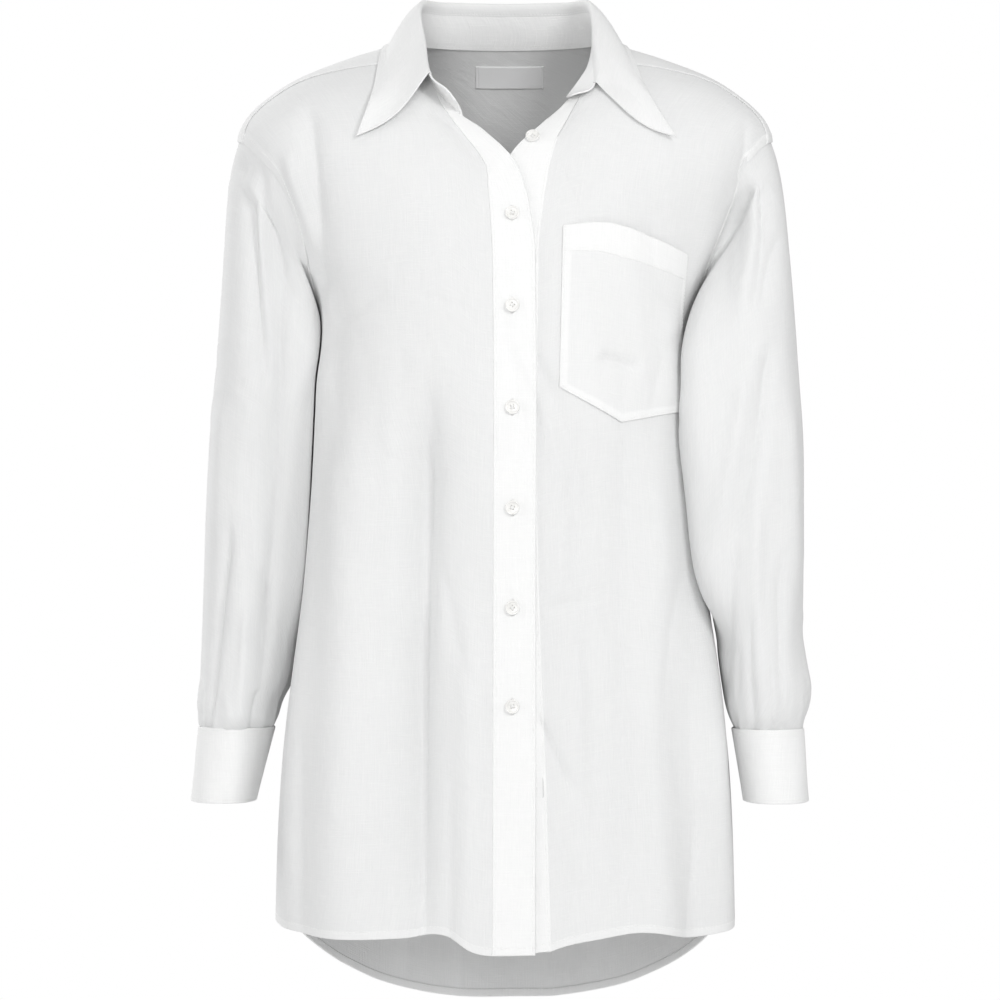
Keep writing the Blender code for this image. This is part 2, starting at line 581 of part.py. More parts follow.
def cuff(side):
    """A cuff: an open strip round an ellipse that narrows downwards, winding outwards so that
    one end laps over the other."""
    top, foot = CUFF_RIGHT if side < 0 else CUFF_LEFT
    share = np.linspace(0, 1 + CUFF_LAP, 27)
    turn = 2 * np.pi * (CUFF_OPENING - CUFF_LAP / 2 + share)
    v = np.linspace(0, 1, 3)[:, None]
    centre_x, centre_y, z, half_x, half_y = (a * (1 - v) + b * v for a, b in zip(top, foot))
    middle = np.stack([centre_x + half_x * np.cos(turn), centre_y - half_y * np.sin(turn),
                       z + 0 * turn], -1)
    away = np.stack([np.cos(turn), -np.sin(turn), 0 * turn], -1)
    normals = grid_normals(middle, away[None])
    wind = (share - 0.5) * (DOUBLED + LIFT)
    middle = (middle + normals * wind[None, :, None]) * (side, 1, 1)
    normals = normals * (side, 1, 1)
    name = "left" if side > 0 else "right"
    wall(f"cuff_{name}", middle, normals, DOUBLED)
    button(f"button_cuff_{name}", middle[1, -3], normals[1, -3], DOUBLED / 2)


def collar_curves(share):
    """Neckline, top of the stand and edge of the leaf at shares of the stand's length."""
    knots = np.linspace(0, 1, len(COLLAR))
    row = smooth(share, knots, COLLAR)
    neck = bare_form(row[:, 0], np.zeros(len(share)))
    return neck, row[:, 1:4], row[:, 4:7]


def grid_normals(grid, outward):
    """Normals of a grid from its own neighbours, turned to agree with the outward hint."""
    normals = unit(np.cross(np.gradient(grid, axis=1), np.gradient(grid, axis=0)))
    agree = np.sum(normals * outward, -1, keepdims=True)
    return normals * np.where(agree.mean() < 0, -1, 1)


def collar():
    """The stand rises from the neckline; the leaf leaves its top, bows out and falls to its
    edge, whose front corners are the collar points."""
    share = np.linspace(0, 1, 25)
    neck, top, _ = collar_curves(share)
    angle = smooth(share, np.linspace(0, 1, len(COLLAR)), COLLAR[:, 0])
    k = np.linspace(0, 1, 4)[:, None, None]
    stand = neck * (1 - k) + top * k
    away = unit(top * (1, 1, 0))
    stand = stand - away * STAND_HOLLOW * (4 * k * (1 - k))
    lift = unit(top - neck)
    stand = stand + lift * (STAND_LIFT * (1 - k) - STAND_TOP_CLEAR * k)
    stand = stand + form_normal(angle, 0 * angle) * STAND_PROUD * (1 - k)
    normals = grid_normals(stand, away[None])
    wall("collar_stand", stand, normals, DOUBLED)
    share = np.linspace(LEAF_FROM, LEAF_TO, 25)
    _, roll, edge = collar_curves(share)
    k = np.linspace(0, 1, 6)[:, None, None]
    leaf = roll * (1 - k) + edge * k
    away = unit((roll + edge) * (0.5, 0.5, 0) + (0, 0, 0.06))
    leaf = leaf + away * LEAF_CROWN * np.sin(np.pi * k ** 0.7)
    leaf = leaf + np.array((0, 0, LEAF_RISE)) * (1 - k)
    from_end = np.minimum(share - LEAF_FROM, LEAF_TO - share)
    bow = LEAF_BOW * (1 - ease(from_end, 0, LEAF_BOW_REACH))
    aside = np.stack([-0.6 * np.sign(roll[:, 0]), 0 * share - 0.3, 0 * share - 0.75], -1)
    leaf = leaf + aside * bow[:, None] * np.sin(np.pi * k)
    angle = smooth(share, np.linspace(0, 1, len(COLLAR)), COLLAR[:, :1])[:, 0]
    leaf = clear_of_form(leaf, angle[None] + 0 * leaf[..., 0], LEAF_CLEAR)
    normals = grid_normals(leaf, away[None])
    wall("collar", leaf, normals, LEAF)


def pocket():
    """The pocket and its hem, laid on the left front."""
    u = np.linspace(0, 1, 9)
    top = along(POCKET_TOP, u)
    foot = np.stack([np.interp(u, (0, 0.5, 1), POCKET_FOOT[:, k]) for k in (0, 1)], -1)
    hem = POCKET_HEM
    for name, shares, thick in (("pocket_hem", np.linspace(0, hem, 3), PANEL + LIFT),
                                ("pocket", np.linspace(hem, 1, 9), PANEL)):
        v = shares[:, None, None]
        flat = top[None] * (1 - v) + foot[None] * v
        place = seen(flat[..., 0], flat[..., 1], 1)
        points, normals = body(place[..., 0], place[..., 1])
        out = left_front_out(points) + PANEL / 2 + POCKET_LIFT + thick / 2
        points = points + normals * out[..., None]
        points = inset(points, ("head",) if name == "pocket_hem" else ("foot",))
        wall(name, points, normals, thick)


def label():
    """The blank label, inside the yoke under the neck seam."""
    u = np.linspace(-0.5, 0.5, 5)[None, :] * LABEL_SIZE[0] + LABEL_CENTRE[0]
    v = np.linspace(-0.5, 0.5, 3)[:, None] * LABEL_SIZE[1] + LABEL_CENTRE[1]
    place = seen(u + 0 * v, v + 0 * u, -1)
    points, normals = body(place[..., 0], place[..., 1], -(PANEL + LIFT))
    wall("label", points, normals, PANEL)


def button(name, seat, normal, cloth_half):
    """A turned button: dished face, round rim, flat foot, standing just off the cloth."""
    profile = ((0.0, 0.68), (0.60, 0.72), (0.80, 1.00), (1.0, 0.60), (0.85, 0.0), (0.0, 0.0))
    sides = 14
    normal = np.asarray(normal) / np.linalg.norm(normal)
    level = np.cross(normal, (0, 0, 1))
    level /= np.linalg.norm(level)
    up = np.cross(level, normal)
    base = np.asarray(seat) + normal * (cloth_half + SEAM_GAP)
    vertices = [base + normal * profile[0][1] * BUTTON_THICK]
    for radius, height in profile[1:-1]:
        for k in range(sides):
            a = 2 * math.pi * k / sides
            ring = (level * math.cos(a) + up * math.sin(a)) * radius * BUTTON_RADIUS
            vertices.append(base + ring + normal * height * BUTTON_THICK)
    vertices.append(base)
    rings = len(profile) - 2
    last = len(vertices) - 1
    faces = []
    for k in range(sides):
        k_next = (k + 1) % sides
        faces.append((0, 1 + k_next, 1 + k))
        for r in range(rings - 1):
            a, b = 1 + r * sides, 1 + (r + 1) * sides
            faces.append((a + k, a + k_next, b + k_next, b + k))
        a = 1 + (rings - 1) * sides
        faces.append((a + k, a + k_next, last))
    if np.dot(np.cross(level, up), normal) > 0:
        faces = [face[::-1] for face in faces]
    return solid(name, np.array(vertices), faces, (SHELL, 0.35))


def buttons():
    """Six fastened buttons on the upper band and the undone one on the lower band."""
    for k, z in enumerate(BUTTON_HEIGHTS):
        place = seen(CENTRE, z, 1)
        points, normals = body(place[0], place[1], np.array(SEAM_GAP))
        button(f"button_{k + 2}", points, normals, DOUBLED / 2)
    place = seen(0.0225, -0.0845, 1)
    points, normals = body(place[0], place[1], np.array(UNDER))
    button("button_1", points, normals, DOUBLED / 2)


def main():
    for old in list(bpy.data.objects):
        bpy.data.objects.remove(old)
    for side in (-1, 1):
        front(side)
        band(side)
        sleeve(side)
        cuff(side)
    back()
    yoke()
    collar()
    pocket()
    label()
    buttons()


main()
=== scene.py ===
"""Looks of an oversized white linen shirt, worn and hollow, arms hanging, neck open.

Metres, +Z up. The shirt faces -Y and the wearer's left is +X. Every piece of cloth is a fine
grid on the same hollow form as its solid. Its creases are added as soft troughs and ridges, then
it gets a wall. Lengths in the crease tables are millimetres.
"""

import math

import bpy
import numpy as np
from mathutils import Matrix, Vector


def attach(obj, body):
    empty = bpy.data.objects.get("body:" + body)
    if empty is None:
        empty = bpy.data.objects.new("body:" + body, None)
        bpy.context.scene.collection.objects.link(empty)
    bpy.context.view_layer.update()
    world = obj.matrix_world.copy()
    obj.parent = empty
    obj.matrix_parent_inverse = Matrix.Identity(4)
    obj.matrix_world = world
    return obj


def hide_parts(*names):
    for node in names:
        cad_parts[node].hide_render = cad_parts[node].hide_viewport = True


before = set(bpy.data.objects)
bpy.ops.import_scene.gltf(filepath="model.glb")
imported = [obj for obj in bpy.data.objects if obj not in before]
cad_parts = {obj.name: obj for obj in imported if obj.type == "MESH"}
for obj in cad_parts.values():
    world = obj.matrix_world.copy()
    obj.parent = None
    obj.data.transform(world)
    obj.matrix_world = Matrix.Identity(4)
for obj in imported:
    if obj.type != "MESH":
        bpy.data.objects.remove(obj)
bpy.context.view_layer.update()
MM = 0.001

# ---- sizes of the cloth ----
SINGLE = 0.0007         # one layer
DOUBLED = 0.0016        # bands, stand and cuffs
LEAF = 0.0015           # collar leaf
STEP = 0.0030           # usual spacing of a grid
UNDER = -0.0024         # how far the left front lies inside the form at the overlap
UNDER_FADE = (0.030, 0.075)
HEM = 0.0070            # depth of the turned hem
HEM_TALL = 0.0009       # what its layers add
FELL = 0.0085           # width of the felled seam round the armhole
FOLD = 0.0009           # radius of a folded edge
HEM_STITCH = 0.0062     # stitch lines in from the edge: the hem's,
FELL_STITCH = 0.0075    # the felled seams',
EDGE_STITCH = 0.0022    # those of bands, cuffs and collar,
FOLD_STITCH = 0.0018    # those of single folds,
YOKE_STITCH = 0.0016    # the yoke's along its back,
STAND_STITCH = 0.0026   # the stand's along the neckline
CUFF_STITCH = 0.0052    # and the cuff's second one at its foot
PULL = 0.00022          # how deep a stitch line sinks
PULL_HALF = 0.0006
STITCH_HALF = 0.00021   # half the thread's width
NECK_TUCK = 0.0008      # how far pieces run on under the stand
SEAM_TUCK = 0.0032      # and under the yoke
RELIEF = 1.6            # share of the creases' heights in the tables that is built
YOKE_PROUD = 0.0009     # how far the yoke's cloth lies over the panels that it laps
BAND_PROUD = 0.0006     # and the upper band's over the lower one
CLEAR_BODY = 0.0020     # least gap between sleeve and body
CLEAR_POCKET = 0.0040   # and what the pocket adds to it
STRIP = 0.0012          # wall of the strip on a sleeve's slit
WEAVE_PITCH = 0.00062
RIB_PITCH = 0.00045
CENTRE = 0.0057         # x of the line of buttons
UNDONE = (0.0225, -0.0845)  # x and z of the undone one
BUTTON_RADIUS = 0.0058
BUTTON_THICK = 0.0026
BUTTON_HEIGHTS = (-0.1494, -0.2246, -0.3070, -0.3882, -0.4690, -0.5486)
NAMES = {-1: "right", 1: "left"}
ENDS = ("start", "end")
FLIPPED = (0, 3, 2, 1)  # corners of a face turned over

# ---- the form, as in the solids ----
SHOULDER_SEAM = 58.0
ARMPIT_LEVEL = -0.222
SIDE_HEM = -0.732
RING = ("level", "z_front", "z_side", "z_back", "half", "front", "back", "square")
RINGS = np.array([
    (-0.840, -0.840, -0.840, -0.840, 0.1930, 0.150, 0.138, 2.50),
    (-0.740, -0.740, -0.740, -0.740, 0.1915, 0.147, 0.134, 2.50),
    (-0.600, -0.600, -0.600, -0.600, 0.1860, 0.142, 0.126, 2.50),
    (-0.430, -0.430, -0.430, -0.430, 0.1640, 0.138, 0.118, 2.45),
    (-0.300, -0.300, -0.300, -0.300, 0.1570, 0.136, 0.113, 2.40),
    (-0.222, -0.220, -0.222, -0.222, 0.1570, 0.130, 0.112, 2.35),
    (-0.165, -0.170, -0.150, -0.165, 0.1900, 0.121, 0.110, 2.25),
    (-0.115, -0.131, -0.080, -0.115, 0.2230, 0.111, 0.105, 2.20),
    (-0.070, -0.106, -0.038, -0.066, 0.1870, 0.102, 0.093, 2.15),
    (-0.030, -0.090, -0.0135, -0.026, 0.1320, 0.094, 0.076, 2.10),
    (0.000, -0.080, 0.002, 0.002, 0.0810, 0.087, 0.058, 2.10),
])
# share of the way round from the shoulder point over the front, angle, level
ARMHOLE = np.array([
    (0.00, 92.0, -0.1160), (0.07, 82.0, -0.1190), (0.14, 76.5, -0.1270),
    (0.26, 71.5, -0.1470), (0.40, 75.0, -0.1900), (0.50, 90.0, ARMPIT_LEVEL),
    (0.60, 104.0, -0.1900), (0.74, 109.5, -0.1480), (0.86, 106.0, -0.1220),
    (0.93, 99.0, -0.1170), (1.00, 92.0, -0.1160),
])
ARM_LEFT_OUT = 7.0      # how many degrees further out the left one runs over the front
YOKE_FRONT_SHARE = 0.07
YOKE_BACK_SHARE = 0.86
SIDE_LEVELS = np.concatenate([np.linspace(SIDE_HEM, -0.342, 8),
                              np.linspace(-0.342, ARMPIT_LEVEL, 7)[1:]])
ARMPIT_ROW = len(SIDE_LEVELS) - 1
CHEST_ROWS, OPEN_ROWS, BACK_ARM_ROWS = 4, 5, 7
NECK_COLUMNS, FRONT_COLUMNS, YOKE_ARM_COLUMNS, YOKE_BACK_COLUMNS = 3, 12, 6, 8
# angle, level
YOKE_FRONT = np.array([(82.0, -0.119), (82.5, -0.092), (80.0, -0.064), (72.5, -0.038),
                       (64.0, -0.016), (SHOULDER_SEAM, 0.0)])
YOKE_BACK = np.array([(106.0, -0.122), (120.0, -0.121), (140.0, -0.112), (160.0, -0.106),
                      (180.0, -0.104)])
# For each front: rows of z, x of the free edge and x of the seam; further up, rows of the share
# of the way to the neckline, x and z of the free edge and x and z of the seam; and the angles on
# the neckline of the seam and the free edge.
BANDS = {
    -1: (np.array([(-0.755, 0.0242, -0.0106), (-0.600, 0.0246, -0.0100),
                   (-0.430, 0.0247, -0.0098), (-0.220, 0.0245, -0.0100),
                   (-0.165, 0.0232, -0.0112), (-0.128, 0.0165, -0.0140)]),
         np.array([(0.45, 0.0033, -0.0995, -0.0190, -0.1020),
                   (0.75, -0.0170, -0.0790, -0.0370, -0.0760)]), -42.0, -24.0),
    1: (np.array([(-0.755, 0.0020, 0.0380), (-0.600, -0.0030, 0.0330), (-0.430, -0.0095, 0.0268),
                  (-0.220, -0.0095, 0.0268), (-0.165, -0.0080, 0.0282),
                  (-0.128, -0.0035, 0.0330)]),
        np.array([(0.45, 0.0085, -0.0930, 0.0410, -0.0930),
                  (0.75, 0.0300, -0.0700, 0.0540, -0.0640)]), 53.0, 36.5),
}
# x seen from the front, z
HEM_FRONT = np.array([(-0.1915, -0.732), (-0.1430, -0.738), (-0.0860, -0.7365),
                      (-0.0460, -0.7345), (-0.0270, -0.7460), (0.0000, -0.7495),
                      (0.0290, -0.7480), (0.0500, -0.7415), (0.0740, -0.7370),
                      (0.1090, -0.7320), (0.1600, -0.7385), (0.1915, -0.732)])
HEM_BACK = np.array([(-0.1915, -0.732), (-0.1680, -0.760), (-0.1190, -0.795),
                     (-0.0770, -0.809), (0.0000, -0.816), (0.0770, -0.809),
                     (0.1190, -0.796), (0.1680, -0.762), (0.1915, -0.732)])
# z, x and y of the centre, half width, half depth; mirrored to +X
SLEEVES = {-1: np.array([
    (-0.275, 0.2005, 0.0290, 0.0445, 0.0660), (-0.330, 0.2037, 0.0370, 0.0463, 0.0650),
    (-0.400, 0.2080, 0.0400, 0.0460, 0.0620), (-0.460, 0.2120, 0.0400, 0.0437, 0.0590),
    (-0.500, 0.2148, 0.0390, 0.0422, 0.0570), (-0.530, 0.2183, 0.0340, 0.0404, 0.0560),
    (-0.552, 0.2245, 0.0290, 0.0360, 0.0540), (-0.566, 0.2258, 0.0260, 0.0333, 0.0500),
    (-0.572, 0.2266, 0.0250, 0.0315, 0.0450),
]), 1: np.array([
    (-0.275, 0.1980, -0.0290, 0.0460, 0.0660), (-0.330, 0.1990, -0.0410, 0.0480, 0.0640),
    (-0.400, 0.2005, -0.0470, 0.0465, 0.0610), (-0.460, 0.2050, -0.0470, 0.0415, 0.0590),
    (-0.500, 0.2115, -0.0450, 0.0355, 0.0570), (-0.518, 0.2125, -0.0450, 0.0375, 0.0560),
    (-0.537, 0.2160, -0.0450, 0.0370, 0.0550), (-0.552, 0.2170, -0.0450, 0.0345, 0.0530),
    (-0.564, 0.2170, -0.0450, 0.0305, 0.0490), (-0.5695, 0.2175, -0.0450, 0.0290, 0.0450),
])}
DRAWN = {-1: 0.012, 1: 0.008}  # how far the front of a sleeve is drawn towards the body
# x, y and z of the centre, half width and half depth, at the top and at the bottom
CUFFS = {-1: ((0.2268, 0.0250, -0.5728, 0.0315, 0.0450),
              (0.2378, 0.0180, -0.6355, 0.0268, 0.0405)),
         1: ((0.2178, -0.0450, -0.5703, 0.0290, 0.0450),
             (0.2245, -0.0520, -0.6310, 0.0262, 0.0405))}
CUFF_LAP = 0.10
CUFF_OPENING = 0.80
PLEATS = 13
SLIT = (0.775, 0.855)   # shares of the way round that the strip on the slit covers
SLIT_TOP = -0.438
# angle on the neckline, roll x, y, z, leaf edge x, y, z
COLLAR = np.array([
    (-24.0, -0.0440, -0.0960, -0.0480, -0.1232, -0.1010, -0.0905),
    (-42.0, -0.0620, -0.0840, -0.0330, -0.1217, -0.0990, -0.0848),
    (-62.0, -0.0670, -0.0430, -0.0030, -0.1098, -0.0840, -0.0500),
    (-90.0, -0.0710, 0.0000, 0.0330, -0.0990, -0.0060, -0.0060),
    (-130.0, -0.0500, 0.0420, 0.0385, -0.0780, 0.0600, -0.0080),
    (-180.0, 0.0000, 0.0540, 0.0390, 0.0000, 0.0800, -0.0120),
    (-230.0, 0.0500, 0.0420, 0.0385, 0.0780, 0.0600, -0.0080),
    (-270.0, 0.0710, 0.0000, 0.0340, 0.0990, -0.0060, -0.0060),
    (-298.0, 0.0745, -0.0400, -0.0010, 0.1173, -0.0800, -0.0470),
    (-314.0, 0.0745, -0.0720, -0.0400, 0.1405, -0.0970, -0.0855),
    (-323.5, 0.0560, -0.0880, -0.0500, 0.1480, -0.0990, -0.0915),
])
LEAF_FROM, LEAF_TO = 0.1, 0.9
LEAF_CROWN = 0.0036
LEAF_BOW = 0.0115
LEAF_BOW_REACH = 0.16
LEAF_CLEAR = 0.0030
POCKET_TOP = np.array([(0.0470, -0.1590), (0.0760, -0.1565), (0.0935, -0.1590),
                       (0.1180, -0.1670), (0.1500, -0.1800)])
POCKET_FOOT = np.array([(0.0440, -0.2905), (0.0941, -0.3190), (0.1418, -0.3100)])
POCKET_HEM = 0.15       # share of the pocket's length
POCKET_TURN = 0.0062    # width of its turned edges
LABEL_CENTRE = (0.0040, -0.0200)
LABEL_SIZE = (0.0580, 0.0180)

# ---- creases seen from the front, in mm ----
# x and z of one end, x and z of the other, bow to the side, half width, height (minus is a
# trough), lean to one side
FRONT_CREASES = [
    (-62, -290, -68, -815, 3, 24, -17, 0.4), (-44, -600, -46, -815, 0, 5, -1.6, 0),
    (-30, -470, -32, -800, 0, 12, 2.6, 0), (-163, -48, -154, -270, -4, 13, -4.5, 0.2),
    (-68, -56, -12, -114, -6, 10, -2.4, 0.2), (74, -266, 110, -276, -3, 6, -3.4, 0.3),
    (92, -296, 93, -324, 0, 3, -0.9, 0), (-181, -96, -150, -196, 0, 8, 2.5, 0),
    (200, -66, 198, -136, 0, 5, -3, 0.4), (97, -310, 101, -790, 2, 10, -2.4, 0.2),
    (120, -400, 128, -800, 0, 16, 4, 0), (150, -520, 160, -800, 0, 12, -2, 0),
    (-124, -300, -136, -815, 0, 32, 8, 0), (58, -330, 62, -815, 0, 34, -4, 0),
    (-95, -300, -92, -640, -3, 12, 1.6, 0), (154, -300, 186, -830, 0, 15, 5, 0),
    (-150, -230, -184, -830, 0, 14, 5, 0), (166, -430, 184, -830, 0, 13, 3, 0),
    (-147, -205, -152, -300, 0, 9, 3, 0), (-160, -560, -166, -800, 0, 10, -1.8, 0),
    (26, -556, 58, -622, 0, 7, -2.4, 0.4), (31, -600, 62, -690, 4, 8, 1.2, 0),
    (-53, -431, -27, -540, 0, 9, -1.6, 0.3), (-69, -312, -66, -362, 0, 3, -0.9, 0),
    (44, -112, 70, -132, 0, 4, -0.9, 0.3), (48, -122, 66, -142, 0, 3, -0.7, 0.3),
    (-24, -232, -84, -214, 3, 6, -0.8, 0), (30, -470, 84, -452, 3, 7, -0.8, 0),
    (-140, -236, -96, -206, 3, 8, -1.4, 0.2), (142, -236, 112, -140, -6, 12, -1.8, 0),
]
BACK_CREASES = [
    (-70, -150, -86, -850, 6, 18, -5, 0.3), (62, -170, 82, -850, -6, 20, -5.5, -0.2),
    (0, -320, 6, -860, 2, 24, 4, 0), (-122, -180, -140, -800, 0, 13, 2.6, 0),
    (118, -190, 136, -800, 0, 15, 2.8, 0), (-34, -480, -40, -850, 0, 10, -2.4, 0.2),
    (38, -560, 44, -850, 0, 9, -2, -0.2), (-140, -226, -100, -150, 5, 9, -2.4, 0.2),
    (142, -230, 96, -156, -5, 9, -2.4, 0), (-20, -210, 50, -196, 6, 9, -1.2, 0),
    (-90, -330, -30, -352, 5, 8, -1, 0.2), (100, -400, 40, -424, -4, 8, -1.1, 0),
]
SLEEVE_FRONT = {-1: [
    (-222, -70, -198, -300, -3, 9, -5, 0.3), (-206, -80, -176, -222, 0, 9, -5, 0.3),
    (-207, -130, -190, -300, 0, 6, 2.2, 0), (-182, -180, -207, -540, -4, 11, -5, 0),
    (-214, -330, -206, -470, 3, 9, -1.8, 0), (-231, -400, -248, -592, 4, 7, -4.5, -0.3),
    (-200, -440, -206, -560, -4, 6, -3, 0.4), (-216, -470, -222, -590, 0, 6, 2, 0),
    (-236, -300, -243, -430, 0, 8, 1.6, 0), (-204, -540, -214, -590, 3, 4, -1.8, 0.3),
    (-258, -520, -256, -590, 0, 4, -1.6, 0),
], 1: [
    (228, -160, 210, -232, 3, 7, -1.5, 0.2), (218, -255, 176, -446, -6, 12, -5, 0.3),
    (196, -280, 168, -420, -3, 8, 2.4, 0), (190, -420, 182, -560, 4, 9, -3.6, 0.3),
    (206, -380, 214, -560, 5, 8, 2.2, 0), (226, -430, 230, -590, 3, 5, -2.4, 0.3),
    (201, -470, 206, -590, 2, 4, -1.6, 0.3), (190, -500, 194, -590, 2, 4, -1.6, 0.2),
    (234, -300, 238, -470, 0, 9, 1.6, 0), (216, -520, 219, -590, 0, 3, -1.4, 0),
]}
# x away from the middle of the shirt, for either sleeve seen from behind
SLEEVE_BACK = [
    (204, -100, 190, -330, 5, 9, -4, 0.2), (228, -140, 214, -420, 3, 9, -3.2, -0.2),
    (196, -330, 214, -440, 6, 10, -1.6, 0.3), (238, -360, 228, -470, 3, 8, -1.2, 0.3),
    (214, -440, 224, -590, 3, 5, -3.2, 0.3), (236, -470, 240, -590, 2, 4, -2.6, 0.3),
    (202, -480, 212, -590, 2, 4, -2.2, 0.3),
]

# Spacing of a grid's lines in from an edge, by kind of edge: close where stitches and folds are.
EDGES = {
    "fold": (0, 0.0003, 0.0009, 0.0014, 0.0018, 0.0022, 0.0026, 0.0030, 0.0038, 0.0052, 0.0074),
    "hem": (0, 0.0003, 0.0009, 0.0020, 0.0034, 0.0046, 0.0052, 0.0057, 0.0062, 0.0067, 0.0071,
            0.0075, 0.0080, 0.0088, 0.0102),
    "fell": (0, 0.0004, 0.0012, 0.0026, 0.0044, 0.0060, 0.0068, 0.0073, 0.0077, 0.0081, 0.0085,
             0.0089, 0.0095, 0.0106),
    "seam": (0, 0.0010, 0.0026),
}


# ---- curves and the form ----
def smooth(at, knots, values):
    """A cubic curve through the values at the knots, its slopes taken from the neighbours."""
    knots = np.asarray(knots, float)
    values = np.asarray(values, float)
    slopes = np.gradient(values, knots, axis=0)
    at = np.clip(at, knots[0], knots[-1])
    i = np.clip(np.searchsorted(knots, at) - 1, 0, len(knots) - 2)
    width = knots[i + 1] - knots[i]
    s = (at - knots[i]) / width
    if values.ndim == 2:
        s, width = s[..., None], width[..., None]
    rise = s * s * (3 - 2 * s)
    leave = s * (1 - s) ** 2 * width * slopes[i]
    arrive = s * s * (s - 1) * width * slopes[i + 1]
    return (1 - rise) * values[i] + rise * values[i + 1] + leave + arrive


def ease(at, low, high):
    """0 below low, 1 above high, with a smooth S between."""
    s = np.clip((at - low) / (high - low), 0, 1)
    return s * s * (3 - 2 * s)


def bell(at, centre, half):
    """1 at the centre, falling off as a Gaussian of that half width."""
    return np.exp(-((at - centre) / half) ** 2)


def unit(vectors):
    return vectors / np.maximum(np.linalg.norm(vectors, axis=-1, keepdims=True), 1e-12)


def join(*parts):
    """Numbers side by side, as points or places."""
    return np.stack(np.broadcast_arrays(*parts), -1)


def read_off(at, knots, rows):
    """Rows read between their knots, in straight lines."""
    return join(*(np.interp(at, knots, column) for column in rows.T))


def ring_at(level):
    """The ring's measures at a level, by name."""
    values = smooth(level, RINGS[:, 0], RINGS[:, 1:])
    return dict(zip(RING[1:], np.moveaxis(values, -1, 0)))


def bare_form(angle, level):
    """A point of the form: on the ring of that level, a superellipse, at an angle in degrees
    from the front; its height runs from the side's to the front's or back's as cos squared."""
    ring = ring_at(level)
    turn = np.radians(angle)
    s, c = np.sin(turn), np.cos(turn)
    depth = np.where(c > 0, ring["front"], ring["back"])
    power = ring["square"]
    reach = ((np.abs(s) / ring["half"]) ** power + (np.abs(c) / depth) ** power) ** (-1 / power)
    z_end = np.where(c > 0, ring["z_front"], ring["z_back"])
    height = ring["z_side"] + (z_end - ring["z_side"]) * c * c
    return join(reach * s, -reach * c, height)


def form_normal(angle, level):
    """Outward normal of the form, from small steps along both parameters."""
    d_angle, d_level = 0.2, 0.0005
    low = np.minimum(level, RINGS[-1, 0] - d_level)
    round_step = bare_form(angle + d_angle, low) - bare_form(angle - d_angle, low)
    up = bare_form(angle, low + d_level) - bare_form(angle, low - d_level)
    return unit(np.cross(round_step, up))


def seen(x, z, side):
    """Angle and level of points given by x and z seen from the front (side 1) or back (-1)."""
    x, z = np.asarray(x, float), np.asarray(z, float)
    level = np.minimum(z, -0.002)
    for _ in range(80):
        ring = ring_at(level)
        share = np.clip(np.abs(x) / ring["half"], 0, 0.99995)
        deep = ring["front"] if side > 0 else ring["back"]
        deep = deep * (1 - share ** ring["square"]) ** (1 / ring["square"])
        turn = np.arctan2(x, side * deep)
        z_end = ring["z_front"] if side > 0 else ring["z_back"]
        here = ring["z_side"] + (z_end - ring["z_side"]) * np.cos(turn) ** 2
        level = np.clip(level + 0.7 * (z - here), RINGS[0, 0], 0)
    angle = np.degrees(turn)
    if side < 0:
        angle = np.where(angle < 0, angle + 360, angle)
    return join(angle, level)


def clear_of_form(points, angle, least):
    """Points moved out, where they must, to lie at least that far from the bare form."""
    level = np.clip(points[..., 2], -0.15, -0.01)
    for _ in range(25):
        here = bare_form(angle, level)
        round_step = bare_form(angle + 1, level) - here
        up_step = (here - bare_form(angle, level - 0.002)) / 0.002
        off = points - here
        angle = angle + 0.7 * np.sum(off * round_step, -1) / np.sum(round_step ** 2, -1)
        move = 0.7 * np.sum(off * up_step, -1) / np.sum(up_step ** 2, -1)
        level = np.clip(level + move, -0.3, 0)
    normals = form_normal(angle, level)
    height = np.sum((points - bare_form(angle, level)) * normals, -1)
    short = np.maximum(least - height, 0)
    return points + normals * short[..., None]


def along(table, share):
    """Points of a table of places, read at shares of its length, evenly spaced by row."""
    return smooth(share, np.linspace(0, 1, len(table)), table)


def armhole(share, side):
    """Angle and level on the armhole of the wearer's left (side 1) or right (-1)."""
    place = smooth(share, ARMHOLE[:, 0], ARMHOLE[:, 1:])
    if side > 0:
        place = place + join(ARM_LEFT_OUT * bell(share, 0.33, 0.11), 0)
    return place * (side, 1)


def mirrored(place):
    """Places on the other half of the back."""
    return place * (-1, 1) + (360, 0)


def hem_level(x, side):
    table = HEM_FRONT if side > 0 else HEM_BACK
    return smooth(np.asarray(x, float), table[:, 0], table[:, 1])


def edge_of_hem(angles, side):
    """Places along the hem at given angles: the level is the hem's height at that x."""
    level = np.full(len(angles), SIDE_HEM)
    for _ in range(20):
        level = hem_level(bare_form(angles, level)[:, 0], side)
    return join(angles, level)


def band_line(table, opened, neck_angle, column, rows):
    """One long edge of a band at fine rows: a smooth curve through the solids' row places, up
    the closed part and then out to the neckline. Column 0 is the free edge and 1 the seam."""
    z = np.concatenate([SIDE_LEVELS, np.linspace(ARMPIT_LEVEL, table[-1, 0], CHEST_ROWS + 1)[1:]])
    z[0] = hem_level(smooth(z[0], table[:, 0], table[:, 1 + column]), 1)
    x = smooth(z, table[:, 0], table[:, 1 + column])
    closed = seen(x, z, 1)
    knots = [0, *opened[:, 0], 1]
    turn_off = seen(opened[:, 1 + 2 * column], opened[:, 2 + 2 * column], 1)
    turns = np.vstack([closed[-1], turn_off, (neck_angle, 0.0)])
    share = np.linspace(0, 1, OPEN_ROWS + 1)[1:]
    line = np.vstack([closed, smooth(share, knots, turns)])
    return smooth(rows, np.arange(len(line)), line)


